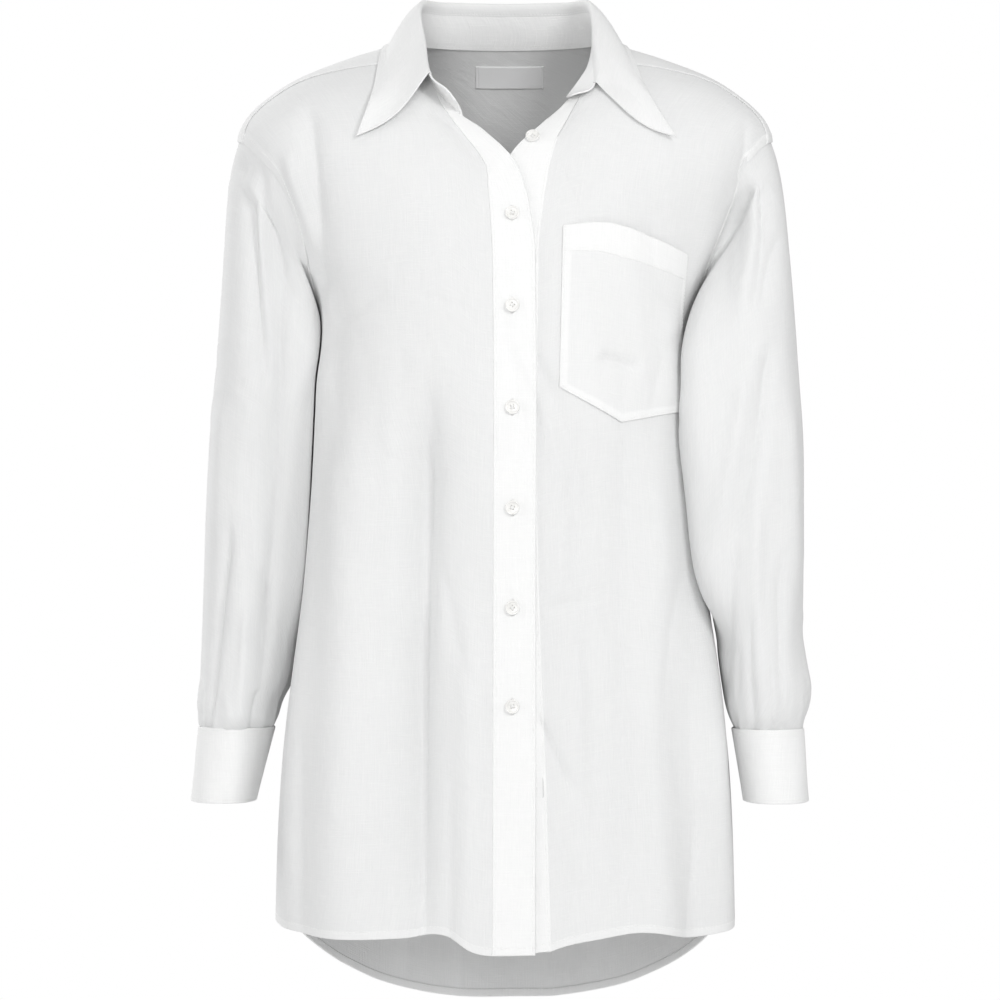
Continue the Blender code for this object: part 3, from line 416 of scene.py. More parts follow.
def patch(foot, head, start, end, u, v):
    """A grid of places between four edges: the sum of the two straight blends, less the blend
    of the corners. Rows run from foot to head, columns from start to end."""
    u, v = u[None, :, None], v[:, None, None]
    corners = ((1 - u) * (1 - v) * foot[0] + u * (1 - v) * foot[-1]
               + (1 - u) * v * head[0] + u * v * head[-1])
    return ((1 - v) * foot[None] + v * head[None] + (1 - u) * start[:, None]
            + u * end[:, None] - corners)


# ---- creases ----
def crease_height(x, z, table):
    """Sum of the creases at points seen from the front. Each runs along a chord with a bow and
    fades in and out. A ridge is a bell across; a trough falls to a sharper line at its bottom.
    Both lean to one side."""
    height = np.zeros(np.broadcast(x, z).shape)
    for x0, z0, x1, z1, bow, half, tall, lean in table:
        dx, dz = (x1 - x0) * MM, (z1 - z0) * MM
        length = math.hypot(dx, dz)
        s = ((x - x0 * MM) * dx + (z - z0 * MM) * dz) / length ** 2
        off = ((x - x0 * MM) * dz - (z - z0 * MM) * dx) / length
        off = off - bow * MM * 4 * s * (1 - s)
        q = off / (half * MM * (0.7 + 0.3 * np.clip(s, 0, 1)))
        fade = ease(s, -0.05, 0.16) * (1 - ease(s, 0.72, 1.06))
        across = q * q if tall > 0 else 1.2 * (np.sqrt(q * q + 0.03) - 0.17)
        across = np.exp(-np.minimum(across, 30)) * (1 + lean * np.tanh(q))
        height += RELIEF * tall * MM * fade * across
    return height


def strewn(seed, count, x_span, z_span, slant, lengths, halves, heights):
    """Rows for small creases strewn over a region by a seeded generator. Slant is their mean
    angle from upright, in degrees, and its spread."""
    rng = np.random.default_rng(seed)
    rows = []
    for _ in range(count):
        x, z = rng.uniform(*x_span), rng.uniform(*z_span)
        turn = math.radians(rng.normal(*slant))
        long = rng.uniform(*lengths)
        tall = rng.uniform(*heights) * rng.choice((-1, -1, 1))
        rows.append((x, z, x + math.sin(turn) * long, z - math.cos(turn) * long,
                     rng.normal(0, 0.05) * long, rng.uniform(*halves), tall,
                     rng.uniform(-0.5, 0.5)))
    return rows


FRONT_ALL = (FRONT_CREASES
             + strewn(3, 80, (-190, 190), (-730, -90), (6, 30), (20, 70), (2.5, 5), (0.10, 0.40))
             + strewn(4, 26, (-185, 185), (-720, -200), (2, 9), (100, 300), (5, 11), (0.3, 1.0)))
BACK_ALL = (BACK_CREASES
            + strewn(5, 80, (-190, 190), (-790, -60), (-4, 30), (20, 70), (2.5, 5), (0.10, 0.40))
            + strewn(6, 24, (-185, 185), (-790, -160), (0, 5), (140, 340), (7, 14), (0.3, 0.9)))


def swell(x, z, seed, tall=0.0013, waves=7):
    """Slow undulation of hanging cloth: a sum of long waves, longer down than across."""
    rng = np.random.default_rng(seed)
    height = 0.0
    for _ in range(waves):
        across = 2 * math.pi / rng.uniform(0.045, 0.140)
        down = 2 * math.pi / rng.uniform(0.180, 0.500) * rng.choice((-1, 1))
        phase, share = rng.uniform(0, 6.28), rng.uniform(0.3, 1)
        height = height + np.sin(across * x + down * z + phase) * share
    return height * tall / math.sqrt(waves)


def body_height(points, angle):
    """How far the cloth of the body stands out from the bare form at each point."""
    x, z = points[..., 0], points[..., 2]
    front = ease(np.cos(np.radians(angle)), -0.12, 0.12)
    height = swell(x + points[..., 1], z, 11)
    height = height + front * crease_height(x, z, FRONT_ALL)
    height = height + (1 - front) * crease_height(x, z, BACK_ALL)
    side = ease(np.abs(np.sin(np.radians(angle))), 0.90, 1.0)
    return height * (1 - 0.8 * ease(z, -0.075, -0.03)) * (1 - 0.8 * side)


def body(place, out=0.0):
    """Points of the body with its creases at places, which are angles and levels, moved out
    along the form's normals; and those normals."""
    angle, level = np.moveaxis(place, -1, 0)
    points = bare_form(angle, level)
    normals = form_normal(angle, level)
    return points + normals * (out + body_height(points, angle))[..., None], normals


def off_body(points, side, share):
    """Points of a sleeve moved out sideways, by that share, to hang just clear of the body."""
    x, y, z = np.moveaxis(points, -1, 0)
    ring = ring_at(z)
    depth = np.where(y < 0, ring["front"], ring["back"])
    power = ring["square"]
    half = ring["half"] * (1 - np.clip(np.abs(y) / depth, 0, 0.99999) ** power) ** (1 / power)
    angle = np.degrees(np.arctan2(side * half, -y))
    flank = join(side * half, y, z)
    normals = form_normal(angle, z)
    stands = np.maximum(body_height(flank, angle), 0) / np.maximum(np.abs(normals[..., 0]), 0.35)
    patched = CLEAR_POCKET * (side > 0) * (y < 0) * ease(z, -0.335, -0.315)
    least = half + stands + CLEAR_BODY + patched
    short = (least - side * x) / 0.0012
    more = 0.0012 * np.where(short > 20, short, np.log1p(np.exp(np.minimum(short, 20))))
    return points + join(side * more * share, 0, 0)


def left_front_out(points):
    """The left front lies inside the form where the right one laps it."""
    return UNDER * (1 - ease(points[..., 0], *UNDER_FADE))


# ---- grids ----
def stations(length, first="fold", last="fold", step=STEP):
    """Shares of a length: the spacings of the two named kinds of edge, and even steps between."""
    low = np.array(EDGES[first])
    high = length - np.array(EDGES[last])[::-1]
    count = max(1, round((high[0] - low[-1]) / step))
    middle = np.linspace(low[-1], high[0], count + 1)[1:-1]
    return np.concatenate([low, middle, high]) / length


def places(shares, lengths, *corners):
    """Row or column places, counted in the solids' rows of those lengths, for shares of the
    whole. The nearest place to each corner is set on it."""
    reach = np.concatenate([[0], np.cumsum(lengths)])
    at = np.interp(shares * reach[-1], reach, np.arange(len(reach)))
    for corner in corners:
        at[np.argmin(np.abs(at - corner))] = corner
    return at


def grid_normals(grid, outward, closed=False):
    """Normals of a grid from its own neighbours, turned to agree with the outward hint."""
    if closed:
        grid = np.concatenate([grid[:, -2:-1], grid, grid[:, 1:2]], 1)
    normals = unit(np.cross(np.gradient(grid, axis=1), np.gradient(grid, axis=0)))
    if closed:
        normals = normals[:, 1:-1]
    return normals * (-1 if np.mean(np.sum(normals * outward, -1)) < 0 else 1)


def run(grid, axis):
    """Distance along a grid from its first row (axis 0) or first column (axis 1)."""
    steps = np.linalg.norm(np.diff(grid, axis=axis), axis=-1)
    return np.concatenate([np.zeros_like(np.take(steps, [0], axis)), np.cumsum(steps, axis)], axis)


def turned(array, edge):
    """The array seen with its rows running inwards from the named edge."""
    if edge in ENDS:
        array = np.swapaxes(array, 0, 1)
    return array[::-1] if edge in ("head", "end") else array


def quads(number, closed=False, order=(0, 1, 2, 3)):
    """Faces between neighbouring rows and columns of a grid of point numbers and, if it is
    closed, from its last column to its first."""
    if closed:
        number = np.concatenate([number, number[..., :1]], -1)
    corners = (number[..., :-1, :-1], number[..., :-1, 1:], number[..., 1:, 1:],
               number[..., 1:, :-1])
    return join(*(corners[k] for k in order)).reshape(-1, 4)


def put(name, data):
    """An object in the scene."""
    piece = bpy.data.objects.new(name, data)
    bpy.context.collection.objects.link(piece)
    return piece


def set_mesh(name, points, faces, weave, layers):
    """A mesh object from whole arrays: points, quads, the weave map of each corner in metres, and
    how far the cloth at each point is doubled, which the linen uses to lighten the painted shade
    of one layer."""
    mesh = bpy.data.meshes.new(name)
    mesh.vertices.add(len(points))
    mesh.vertices.foreach_set("co", points.astype(np.float32).ravel())
    mesh.loops.add(faces.size)
    mesh.loops.foreach_set("vertex_index", faces.astype(np.int32).ravel())
    mesh.polygons.add(len(faces))
    mesh.polygons.foreach_set("loop_start", np.arange(0, faces.size, 4, dtype=np.int32))
    mesh.update(calc_edges=True)
    mesh.shade_smooth()
    mesh.uv_layers.new(name="weave").uv.foreach_set("vector", weave.astype(np.float32).ravel())
    # The doubling share, which sets how much painted shade the linen puts on the cloth.
    doubled = mesh.attributes.new("layers", "FLOAT", "POINT")
    doubled.data.foreach_set("value", layers.astype(np.float32))
    return put(name, mesh)


class Cloth:
    """A grid of one piece: its middle surface, its normals, how far its wall reaches above and
    below the middle, how far it is doubled (which lightens the painted shade that one layer gets),
    and the stitches on it."""

    def __init__(self, name, points, outward, thick, layers=0.0, closed=False):
        self.name, self.points, self.closed = name, points, closed
        self.normals = grid_normals(points, outward, closed)
        self.above = np.full(points.shape[:2], thick / 2)
        self.below = self.above.copy()
        # How far each point is doubled; it lightens the painted shade that the linen gives one
        # layer.
        self.layers = np.full(points.shape[:2], layers)
        self.weave = join(run(points, 1), run(points, 0))
        self.runs = []

    def inwards(self, edge):
        """Distance of each point from the named edge, along the grid."""
        whole = run(self.points, 0 if edge in ("foot", "head") else 1)
        if edge == "head":
            return whole[-1:] - whole
        return whole[:, -1:] - whole if edge == "end" else whole

    def rounded(self, *edges):
        """Brings the wall in at folded edges, as a quarter circle."""
        for edge in edges:
            s = np.clip(self.inwards(edge) / FOLD, 0, 1)
            share = np.sqrt(np.clip(1 - (1 - s) ** 2, 0.03, 1))
            self.above *= share
            self.below *= share

    def groove(self, edge, at, mask=1.0):
        """A stitch line's pull, a bell that sinks both faces, and a soft swell beside it."""
        distance = self.inwards(edge)
        pull = bell(distance, at, PULL_HALF) - 0.35 * bell(distance, at, 2.6 * PULL_HALF)
        self.above -= PULL * pull * mask
        self.below -= PULL * pull * mask

    def fold_over(self, edge, depth, tall, inside=False, mask=1.0, tone=0.35):
        """Thickens one face over a strip along an edge, where the cloth is turned or felled. Its
        tone is how far the strip counts as doubled, which lightens the painted shade of one layer
        there.
        """
        strip = (1 - ease(self.inwards(edge), depth - 0.0003, depth + 0.0003)) * mask
        if inside:
            self.below += tall * strip
        else:
            self.above += tall * strip
        # The strip's tone lightens the painted shade that one layer gets.
        self.layers = np.maximum(self.layers, strip * tone)

    def hemmed(self):
        """The hem, turned up inside and stitched."""
        self.fold_over("foot", HEM, HEM_TALL, inside=True)
        self.groove("foot", HEM_STITCH)

    def felled(self, edge, tall, mask=1.0, tone=0.35):
        """The armhole's seam, laid flat on the outside and stitched."""
        self.fold_over(edge, FELL, tall, mask=mask, tone=tone)
        self.groove(edge, FELL_STITCH, mask)

    def sew(self, edge, at, part=slice(None), inside=False, pitch=0.0031, long=0.0023):
        """Stitches along the line at a distance in from an edge, on the part of it given."""
        reach = (-self.below if inside else self.above)[..., None]
        face = turned(self.points + self.normals * reach, edge)[:, part]
        normals = turned(self.normals, edge)[:, part] * (-1 if inside else 1)
        distance = turned(self.inwards(edge), edge)[:, part]
        i = np.clip((distance < at).sum(0) - 1, 0, len(distance) - 2)
        column = np.arange(distance.shape[1])
        low, high = distance[i, column], distance[i + 1, column]
        s = np.clip((at - low) / np.maximum(high - low, 1e-9), 0, 1)[:, None]
        line, lift = (a[i, column] * (1 - s) + a[i + 1, column] * s for a in (face, normals))
        self.runs.append((line, unit(lift), pitch, long))

    def edging(self, folded, *lines, faces=(False,), **yarn):
        """Stitch lines, each an edge and a distance in from it, on the faces given: their
        grooves, the folded edges, then the stitches."""
        for line in lines:
            self.groove(*line)
        self.rounded(*folded)
        for inside in faces:
            for line in lines:
                self.sew(*line, inside=inside, **yarn)

    def run_on(self, edge, by, sink=0.0):
        """Lengthens the grid past an edge, straight on, by a distance for the whole edge or one
        for each point of it, and a little lower, so that it tucks under its neighbour."""
        points = turned(self.points, edge)
        ahead = unit(points[0] - points[1])
        by, sink = ((np.zeros(len(ahead)) + a)[:, None] for a in (by, sink))
        extra = points[0] + ahead * by - turned(self.normals, edge)[0] * sink
        for name in ("points", "normals", "above", "below", "layers", "weave"):
            array = turned(getattr(self, name), edge)
            row = extra if name == "points" else array[0]
            if name == "weave":
                row = array[0] + unit(array[0] - array[1]) * by
            array = np.concatenate([row[None], array])
            array = array[::-1] if edge in ("head", "end") else array
            setattr(self, name, np.swapaxes(array, 0, 1) if edge in ENDS else array)

    def build(self):
        """The closed wall: outer face, inner face and the rims between them."""
        reach = np.stack([self.above, -self.below])[..., None]
        number = np.arange(reach.size).reshape(reach.shape[:3])
        corners = [quads(number[0]), quads(number[1], order=FLIPPED),
                   quads(number[:, 0], order=FLIPPED), quads(number[:, -1])]
        if not self.closed:
            corners += [quads(number[:, :, 0]), quads(number[:, :, -1], order=FLIPPED)]
        corners = np.concatenate(corners)
        m = self.points
        if np.dot(np.cross(m[3, 4] - m[3, 3], m[4, 3] - m[3, 3]), self.normals[3, 3]) < 0:
            corners = corners[:, ::-1]
        if self.closed:
            number[:, :, -1] = number[:, :, 0]
        used, faces = np.unique(number.ravel()[corners], return_inverse=True)
        points = (m + self.normals * reach).reshape(-1, 3)[used]
        shift = np.random.default_rng(len(self.name) * 31 + ord(self.name[-2])).uniform(0, 4, 2)
        weave = np.tile(self.weave.reshape(-1, 2), (2, 1)) + shift
        layers = np.tile(self.layers.ravel(), 2)[used]
        return set_mesh(self.name, points, faces.reshape(-1, 4), weave[corners.ravel()], layers)


# ---- finishes ----
class Value:
    """A number in a material, which takes the operations below."""

    def __init__(self, finish, socket):
        self.finish, self.socket = finish, socket


def operation(kind, swapped=False):
    """A method of a Value: one maths node on it and the other number, if there is one."""
    def apply(value, *other):
        numbers = (value, *other)[::-1] if swapped else (value, *other)
        return value.finish.node("ShaderNodeMath", {"operation": kind}, dict(enumerate(numbers)))
    return apply


for sign, kind in (("add", "ADD"), ("sub", "SUBTRACT"), ("mul", "MULTIPLY")):
    setattr(Value, f"__{sign}__", operation(kind))
    setattr(Value, f"__r{sign}__", operation(kind, True))
for sign, kind in (("sine", "SINE"), ("size", "ABSOLUTE"), ("least", "MINIMUM"),
                   ("most", "MAXIMUM")):
    setattr(Value, sign, operation(kind))


class Finish:
    """A material under construction."""

    def __init__(self, name):
        self.material = bpy.data.materials.new(name)
        self.material.use_nodes = True
        self.tree = self.material.node_tree
        self.shader = self.tree.nodes["Principled BSDF"]

    def node(self, kind, settings, inputs, output=0):
        """Adds a node, makes its settings, then sets or links its sockets."""
        made = self.tree.nodes.new(kind)
        for name, value in settings.items():
            setattr(made, name, value)
        for key, value in inputs.items():
            self.plug(made.inputs[key], value)
        return Value(self, made.outputs[output])

    def plug(self, socket, value):
        if isinstance(value, Value):
            self.tree.links.new(value.socket, socket)
        else:
            socket.default_value = value

    def noise(self, place, scale, detail=2.0, rough=0.5):
        return self.node("ShaderNodeTexNoise", {}, {"Vector": place, "Scale": scale,
                                                    "Detail": detail, "Roughness": rough})

    def at(self, x, y, z=0.0):
        return self.node("ShaderNodeCombineXYZ", {}, {0: x, 1: y, 2: z})

    def place(self):
        """The piece's own coordinates."""
        return self.node("ShaderNodeTexCoord", {}, {}, 3)

    def along_weave(self):
        """The weave map, and its distances across and along the cloth."""
        weave = self.node("ShaderNodeUVMap", {"uv_map": "weave"}, {})
        return (weave, *(self.node("ShaderNodeSeparateXYZ", {}, {0: weave}, k) for k in (0, 1)))

    def between(self, share, low, high):
        """A colour between two, by a share."""
        return self.node("ShaderNodeMix", {"data_type": "RGBA"}, {0: share, 6: low, 7: high}, 2)

    def bump(self, height, distance, strength=1.0, **under):
        return self.node("ShaderNodeBump", {}, {"Height": height, "Distance": distance,
                                                "Strength": strength, **under})

    def finish(self, **inputs):
        for name, value in inputs.items():
            self.plug(self.shader.inputs[name.replace("_", " ")], value)
        return self.material


def linen():
    """Plain-weave linen. Threads cross, wander a little and thicken into slubs both ways; one
    layer is painted greyer than doubled cloth, as painted shade of the dark hollow that shows
    through thin cloth; small creases show as a soft bump."""
    f = Finish("linen")
    weave, u, v = f.along_weave()
    wander = f.noise(weave, 26.0, 1.0) - 0.5
    u, v = u + wander * 0.0030, v + wander * 0.0012
    weft_slub = f.noise(f.at(u * 60, v * 1150, 1.7), 1.0, 1.0)
    warp_slub = f.noise(f.at(u * 1150, v * 42, 5.2), 1.0, 1.0)
    weft_fine = f.noise(f.at(u * 160, v * 2100, 9.1), 1.0, 0.0)
    warp_fine = f.noise(f.at(u * 2100, v * 150, 3.3), 1.0, 0.0)
    threads = weft_slub * 0.75 + warp_slub * 1.25 + (weft_fine + warp_fine) * 0.5
    knots = ((weft_slub - 0.60).most(0.0) + (warp_slub - 0.62).most(0.0)) * 1.6
    cloudy = f.noise(weave, 15.0, 3.0, 0.6)
    # Painted shade: the doubling share picks a greyer colour for one layer of cloth, standing in
    # for the dark hollow behind it, and a lighter one for doubled cloth.
    doubled = f.node("ShaderNodeAttribute", {"attribute_name": "layers"}, {}, 2)
    tone = (threads - 1.5) * 0.42 + (cloudy - 0.5) * 0.25 + 0.5 + knots * 0.4
    tone = tone.most(0.0).least(1.0)
    # The grey of one layer is painted shade; the doubled colour has less of it.
    single_layer_painted_shade = f.between(tone, (0.745, 0.750, 0.752, 1), (0.840, 0.842, 0.838, 1))
    doubled_less_painted_shade = f.between(tone, (0.835, 0.838, 0.838, 1), (0.925, 0.926, 0.920, 1))
    pitch = 2 * math.pi / WEAVE_PITCH
    cells = (u * pitch).sine() * (v * pitch).sine()
    fine = f.bump(cells * 0.12 + threads * 0.9 + knots * 2.0, 0.00009)
    rumple = f.noise(weave, 62.0, 3.0, 0.55)
    ridges = 1 - (f.noise(weave, 34.0, 2.0, 0.5) - 0.5).size() * 4
    soft = f.bump(rumple * 0.6 + ridges.most(0.0) * 0.5, 0.0009, 0.5, Normal=fine)
    return f.finish(Base_Color=f.between(doubled, single_layer_painted_shade, doubled_less_painted_shade), Roughness=0.92,
                    Specular_IOR_Level=0.22, Sheen_Weight=0.10, Sheen_Roughness=0.5, Normal=soft)


def thread():
    """Cotton thread: white, with its twist as fine mottling."""
    f = Finish("thread")
    twist = f.noise(f.place(), 2600.0, 1.0)
    colour = f.between(twist, (0.84, 0.84, 0.835, 1), (0.93, 0.93, 0.925, 1))
    return f.finish(Base_Color=colour, Roughness=0.7, Specular_IOR_Level=0.35,
                    Normal=f.bump(twist, 0.00008, 0.6))


def shell():
    """Shell-like button: creamy white with soft cloudy bands and a polish."""
    f = Finish("shell")
    place = f.place()
    cloud = f.noise(place, 210.0, 3.0, 0.6)
    bands = (f.noise(place, 90.0, 1.0) * 22.0).sine() * 0.5 + 0.5
    share = cloud * 0.65 + bands * 0.35
    colour = f.between(share, (0.80, 0.795, 0.77, 1), (0.92, 0.915, 0.90, 1))
    return f.finish(Base_Color=colour, Roughness=0.24 + cloud * 0.16, Specular_IOR_Level=0.5,
                    Coat_Weight=0.25, Coat_Roughness=0.15, Normal=f.bump(cloud, 0.00005, 0.3))


def ribbon():
    """Woven satin ribbon: white, with fine ribs along its length."""
    f = Finish("ribbon")
    _, u, v = f.along_weave()
    ribs = (v * (2 * math.pi / RIB_PITCH)).sine() * 0.5 + 0.5
    fleck = f.noise(f.at(u * 300, v * 2600), 1.0, 1.0)
    colour = f.between(fleck * 0.6 + ribs * 0.4, (0.91, 0.912, 0.915, 1), (0.97, 0.97, 0.97, 1))
    return f.finish(Base_Color=colour, Roughness=0.5, Specular_IOR_Level=0.4, Sheen_Weight=0.2,
                    Normal=f.bump(ribs * 0.5 + fleck, 0.00008, 0.6))


FINISHES = {"linen": linen(), "thread": thread(), "shell": shell(), "ribbon": ribbon()}


def hang(piece, finish, nodes=()):
    """Gives a piece its finish, and lets it ride on the shirt in place of its nodes."""
    piece.data.materials.append(FINISHES[finish])
    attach(piece, "root")
    if nodes:
        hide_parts(*nodes)
    return piece


def tubes(name, rings, order=(0, 1, 2, 3)):
    """One mesh of many tubes of thread, from an array of their rings."""
    faces = quads(np.arange(rings.size // 3).reshape(rings.shape[:3]), True, order)
    points = rings.reshape(-1, 3)
    weave = points[faces.ravel()][:, (0, 2)]
    return hang(set_mesh(name, points, faces, weave, np.ones(len(points))), "thread")


def stitches(name, runs):
    """One mesh of many stitches, each a thread of five sides and four rings, thin and sunk at
    its ends, laid end to end along its run."""
    turn = np.arange(5) * 2 * math.pi / 5
    t = np.array((-0.5, -0.32, 0.32, 0.5))
    width = (np.array((0.30, 1.0, 1.0, 0.30)) * STITCH_HALF)[:, None, None]
    sink = (np.array((-1.1, 0.30, 0.30, -1.1)) * STITCH_HALF)[:, None, None]
    rings = []
    for line, normals, pitch, long in runs:
        length = run(line[None], 1)[0]
        total = max(1, int(length[-1] / pitch))
        middle = (np.arange(total) + 0.5) * length[-1] / total
        up = unit(read_off(middle, length, normals))
        way = unit(read_off(middle + long / 2, length, line)
                   - read_off(middle - long / 2, length, line))
        across = unit(np.cross(up, way))
        up, way, across = up[:, None, None], way[:, None, None], across[:, None, None]
        spot = read_off(middle, length, line)[:, None, None] + way * (t * long)[:, None, None]
        around = across * np.cos(turn)[:, None] + up * (0.8 * np.sin(turn))[:, None]
        rings.append(spot + around * width + up * sink)
    return tubes(name, np.concatenate(rings))


def finish_cloth(cloth, finish="linen"):
    piece = hang(cloth.build(), finish, [cloth.name])
    sewn = [stitches(f"{cloth.name}_stitches", cloth.runs)] if cloth.runs else []


# ---- the panels ----
SIDE_STEPS = list(np.diff(SIDE_LEVELS))
FRONT_STEPS = SIDE_STEPS + [0.023] * CHEST_ROWS + [0.018] * OPEN_ROWS
BACK_STEPS = SIDE_STEPS + [0.019] * BACK_ARM_ROWS


def side_edge(rows, last, arm_share, side):
    """The side seam up to the armpit, and the armhole from there to a share of it."""
    below = join(90.0 * side, np.interp(rows, np.arange(ARMPIT_ROW + 1), SIDE_LEVELS))
    share = np.interp(rows, (ARMPIT_ROW, last), (0.5, arm_share))
    return np.where((rows <= ARMPIT_ROW)[:, None], below, armhole(share, side))


def front(side):
    """One front: band seam, hem, side seam and armhole, then the yoke seam and the neckline."""
    table, opened, top, _ = BANDS[side]
    rows = places(stations(sum(FRONT_STEPS), "hem", "seam"), FRONT_STEPS, ARMPIT_ROW)
    columns = places(stations(0.235, "seam", "fell"), [1.0] * FRONT_COLUMNS, NECK_COLUMNS)
    last = len(FRONT_STEPS)
    start = band_line(table, opened, top, 1, rows)
    end = side_edge(rows, last, YOKE_FRONT_SHARE, side)
    u = columns / FRONT_COLUMNS
    foot = edge_of_hem(start[0, 0] * (1 - u) + end[0, 0] * u, 1)
    neck = join(np.interp(columns, (0, NECK_COLUMNS), (top, SHOULDER_SEAM * side)), 0.0)
    share = np.clip((columns - NECK_COLUMNS) / (FRONT_COLUMNS - NECK_COLUMNS), 0, 1)
    at_neck = columns <= NECK_COLUMNS
    head = np.where(at_neck[:, None], neck, along(YOKE_FRONT[::-1], share) * (side, 1))
    points, normals = body(patch(foot, head, start, end, u, rows / last))
    if side > 0:
        points = points + normals * left_front_out(points)[..., None]
    cloth = Cloth(f"front_{NAMES[side]}", points, normals, SINGLE)
    arm = rows >= ARMPIT_ROW
    cloth.hemmed()
    # The last number is the tone: the left front's felled seam gets the full lightening of the
    # painted shade, the right front's about a third of it.
    cloth.felled("end", 0.0005, 1.0 * arm[:, None], 1.0 if side > 0 else 0.35)
    cloth.rounded("foot")
    cloth.sew("foot", HEM_STITCH)
    cloth.sew("end", FELL_STITCH, slice(int((~arm).sum()) + 2, None))
    cloth.run_on("end", np.where(arm, 0.0003, 0.0025), np.where(arm, 0.0002, 0.0009))
    cloth.run_on("start", 0.0035)
    at_neck = np.concatenate([[True], at_neck, [False]])
    cloth.run_on("head", np.where(at_neck, NECK_TUCK, SEAM_TUCK), 0.0002)
    finish_cloth(cloth)


def back():
    """The back, from side seam to side seam, up to the yoke seam."""
    rows = places(stations(sum(BACK_STEPS), "hem", "seam"), BACK_STEPS, ARMPIT_ROW)
    last = len(BACK_STEPS)
    u = stations(0.50, "fell", "fell")
    start = side_edge(rows, last, YOKE_BACK_SHARE, 1)
    head = along(YOKE_BACK, np.minimum(u, 1 - u) * 2)
    head = np.where((u > 0.5)[:, None], mirrored(head), head)
    foot = edge_of_hem(90 + 180 * u, -1)
    cloth = Cloth("back", *body(patch(foot, head, start, mirrored(start), u, rows / last)), SINGLE)
    cloth.hemmed()
    for edge in ENDS:
        cloth.felled(edge, 0.0004)
    cloth.rounded("foot")
    for inside in (False, True):
        cloth.sew("foot", HEM_STITCH, inside=inside)
    for edge in ENDS:
        cloth.sew(edge, FELL_STITCH)
    cloth.run_on("head", SEAM_TUCK, 0.0002)
    finish_cloth(cloth)


def yoke():
    """The yoke: a strip from one front seam round the neck to the other, between the neckline
    and the armholes and back seam."""
    half_columns = YOKE_ARM_COLUMNS + YOKE_BACK_COLUMNS
    columns = places(stations(0.30, "fold", "seam"), [1.0] * half_columns, YOKE_ARM_COLUMNS)
    v = stations(0.125, "fell", "seam", 0.0025)
    arm = armhole((YOKE_FRONT_SHARE - 0.035 * np.minimum(columns, YOKE_ARM_COLUMNS)) % 1.0, 1)
    share = np.clip((columns - YOKE_ARM_COLUMNS) / YOKE_BACK_COLUMNS, 0, 1)
    at_arm = columns <= YOKE_ARM_COLUMNS
    outer = np.where(at_arm[:, None], arm, along(YOKE_BACK, share))
    neck = np.interp(columns, (0, YOKE_ARM_COLUMNS, half_columns), (SHOULDER_SEAM, 118, 180))
    centre = join(180.0, YOKE_BACK[-1, 1] * (1 - v))
    place = patch(outer, join(neck, 0.0), along(YOKE_FRONT, v), centre, columns / half_columns, v)
    place = np.concatenate([place, mirrored(place)[:, -2::-1]], 1)
    # 0.45: the yoke counts as partly doubled, which partly lightens its painted shade.
    cloth = Cloth("yoke", *body(place, YOKE_PROUD), SINGLE, 0.45)
    count = int(at_arm.sum())
    at_arm = np.concatenate([at_arm, at_arm[-2::-1]])
    cloth.below += 0.0002
    cloth.felled("foot", 0.0003, 1.0 * at_arm[None, :])
    cloth.groove("foot", YOKE_STITCH, 1.0 * ~at_arm[None, :])
    for edge in ENDS:
        cloth.groove(edge, FOLD_STITCH)
    cloth.rounded("foot", *ENDS)
    cloth.sew("foot", FELL_STITCH, slice(2, count))
    cloth.sew("foot", FELL_STITCH, slice(len(at_arm) - count, -2))
    cloth.sew("foot", YOKE_STITCH, slice(count, len(at_arm) - count))
    for edge in ENDS:
        cloth.sew(edge, FOLD_STITCH)
    cloth.run_on("head", NECK_TUCK)
    finish_cloth(cloth)


def band(side):
    """A front band between its free edge and its seam, from the hem to the neckline."""
    table, opened, top, end_angle = BANDS[side]
    rows = places(stations(sum(FRONT_STEPS), "hem", "fold", 0.0025), FRONT_STEPS)
    free = band_line(table, opened, end_angle, 0, rows)
    seam = band_line(table, opened, top, 1, rows)
    across = stations(0.0345, step=0.0022)[None, :, None]
    place = free[:, None] * (1 - across) + seam[:, None] * across
    points, normals = body(place, BAND_PROUD if side < 0 else UNDER)
    cloth = Cloth(f"band_{NAMES[side]}", points, normals, DOUBLED, 1.0)
    cloth.edging((*ENDS, "foot"), ("start", EDGE_STITCH), ("end", EDGE_STITCH),
                 ("foot", HEM_STITCH))
    finish_cloth(cloth)


# ---- sleeves and cuffs ----
def sleeve_cap(share, side):
    """Where each line of a sleeve starts on the armhole, and its direction there, for a sleeve
    on the left that is mirrored later if the side is the right."""
    place, ahead, behind = (armhole(at, side) * (side, 1) for at in
                            (share, (share + 0.002) % 1.0, (share - 0.002) % 1.0))
    root, normal = bare_form(*place.T), form_normal(*place.T)
    inward = unit(np.cross(normal, bare_form(*ahead.T) - bare_form(*behind.T)))
    under = ease(-np.cos(2 * np.pi * share), 0.2, 1.0)
    leave = inward * (0.100 - 0.085 * under)[:, None] + normal * (0.038 - 0.034 * under)[:, None]
    return root, normal, inward, leave, under


def tube(side, turn, z):
    """Rings of a sleeve at their heights: ellipses whose measures run smoothly down its table.
    In front they are drawn out towards the body, which the sleeve lies against."""
    rings = SLEEVES[side]
    turn, z = np.broadcast_arrays(turn, z)
    centre_x, centre_y, half_x, half_y = np.moveaxis(
        smooth(z.ravel(), rings[::-1, 0], rings[::-1, 1:]).reshape(*z.shape, 4), -1, 0)
    drawn = np.where((np.cos(turn) < 0) & (np.sin(turn) > 0), np.sin(2 * turn) ** 2, 0.0)
    drawn = drawn * (1 - ease(-z, 0.43, 0.53))
    half_x, half_y = half_x * (1 + 0.12 * drawn), half_y * (1 + 0.06 * drawn)
    return join(centre_x + half_x * np.cos(turn) - DRAWN[side] * drawn,
                centre_y - half_y * np.sin(turn), z)


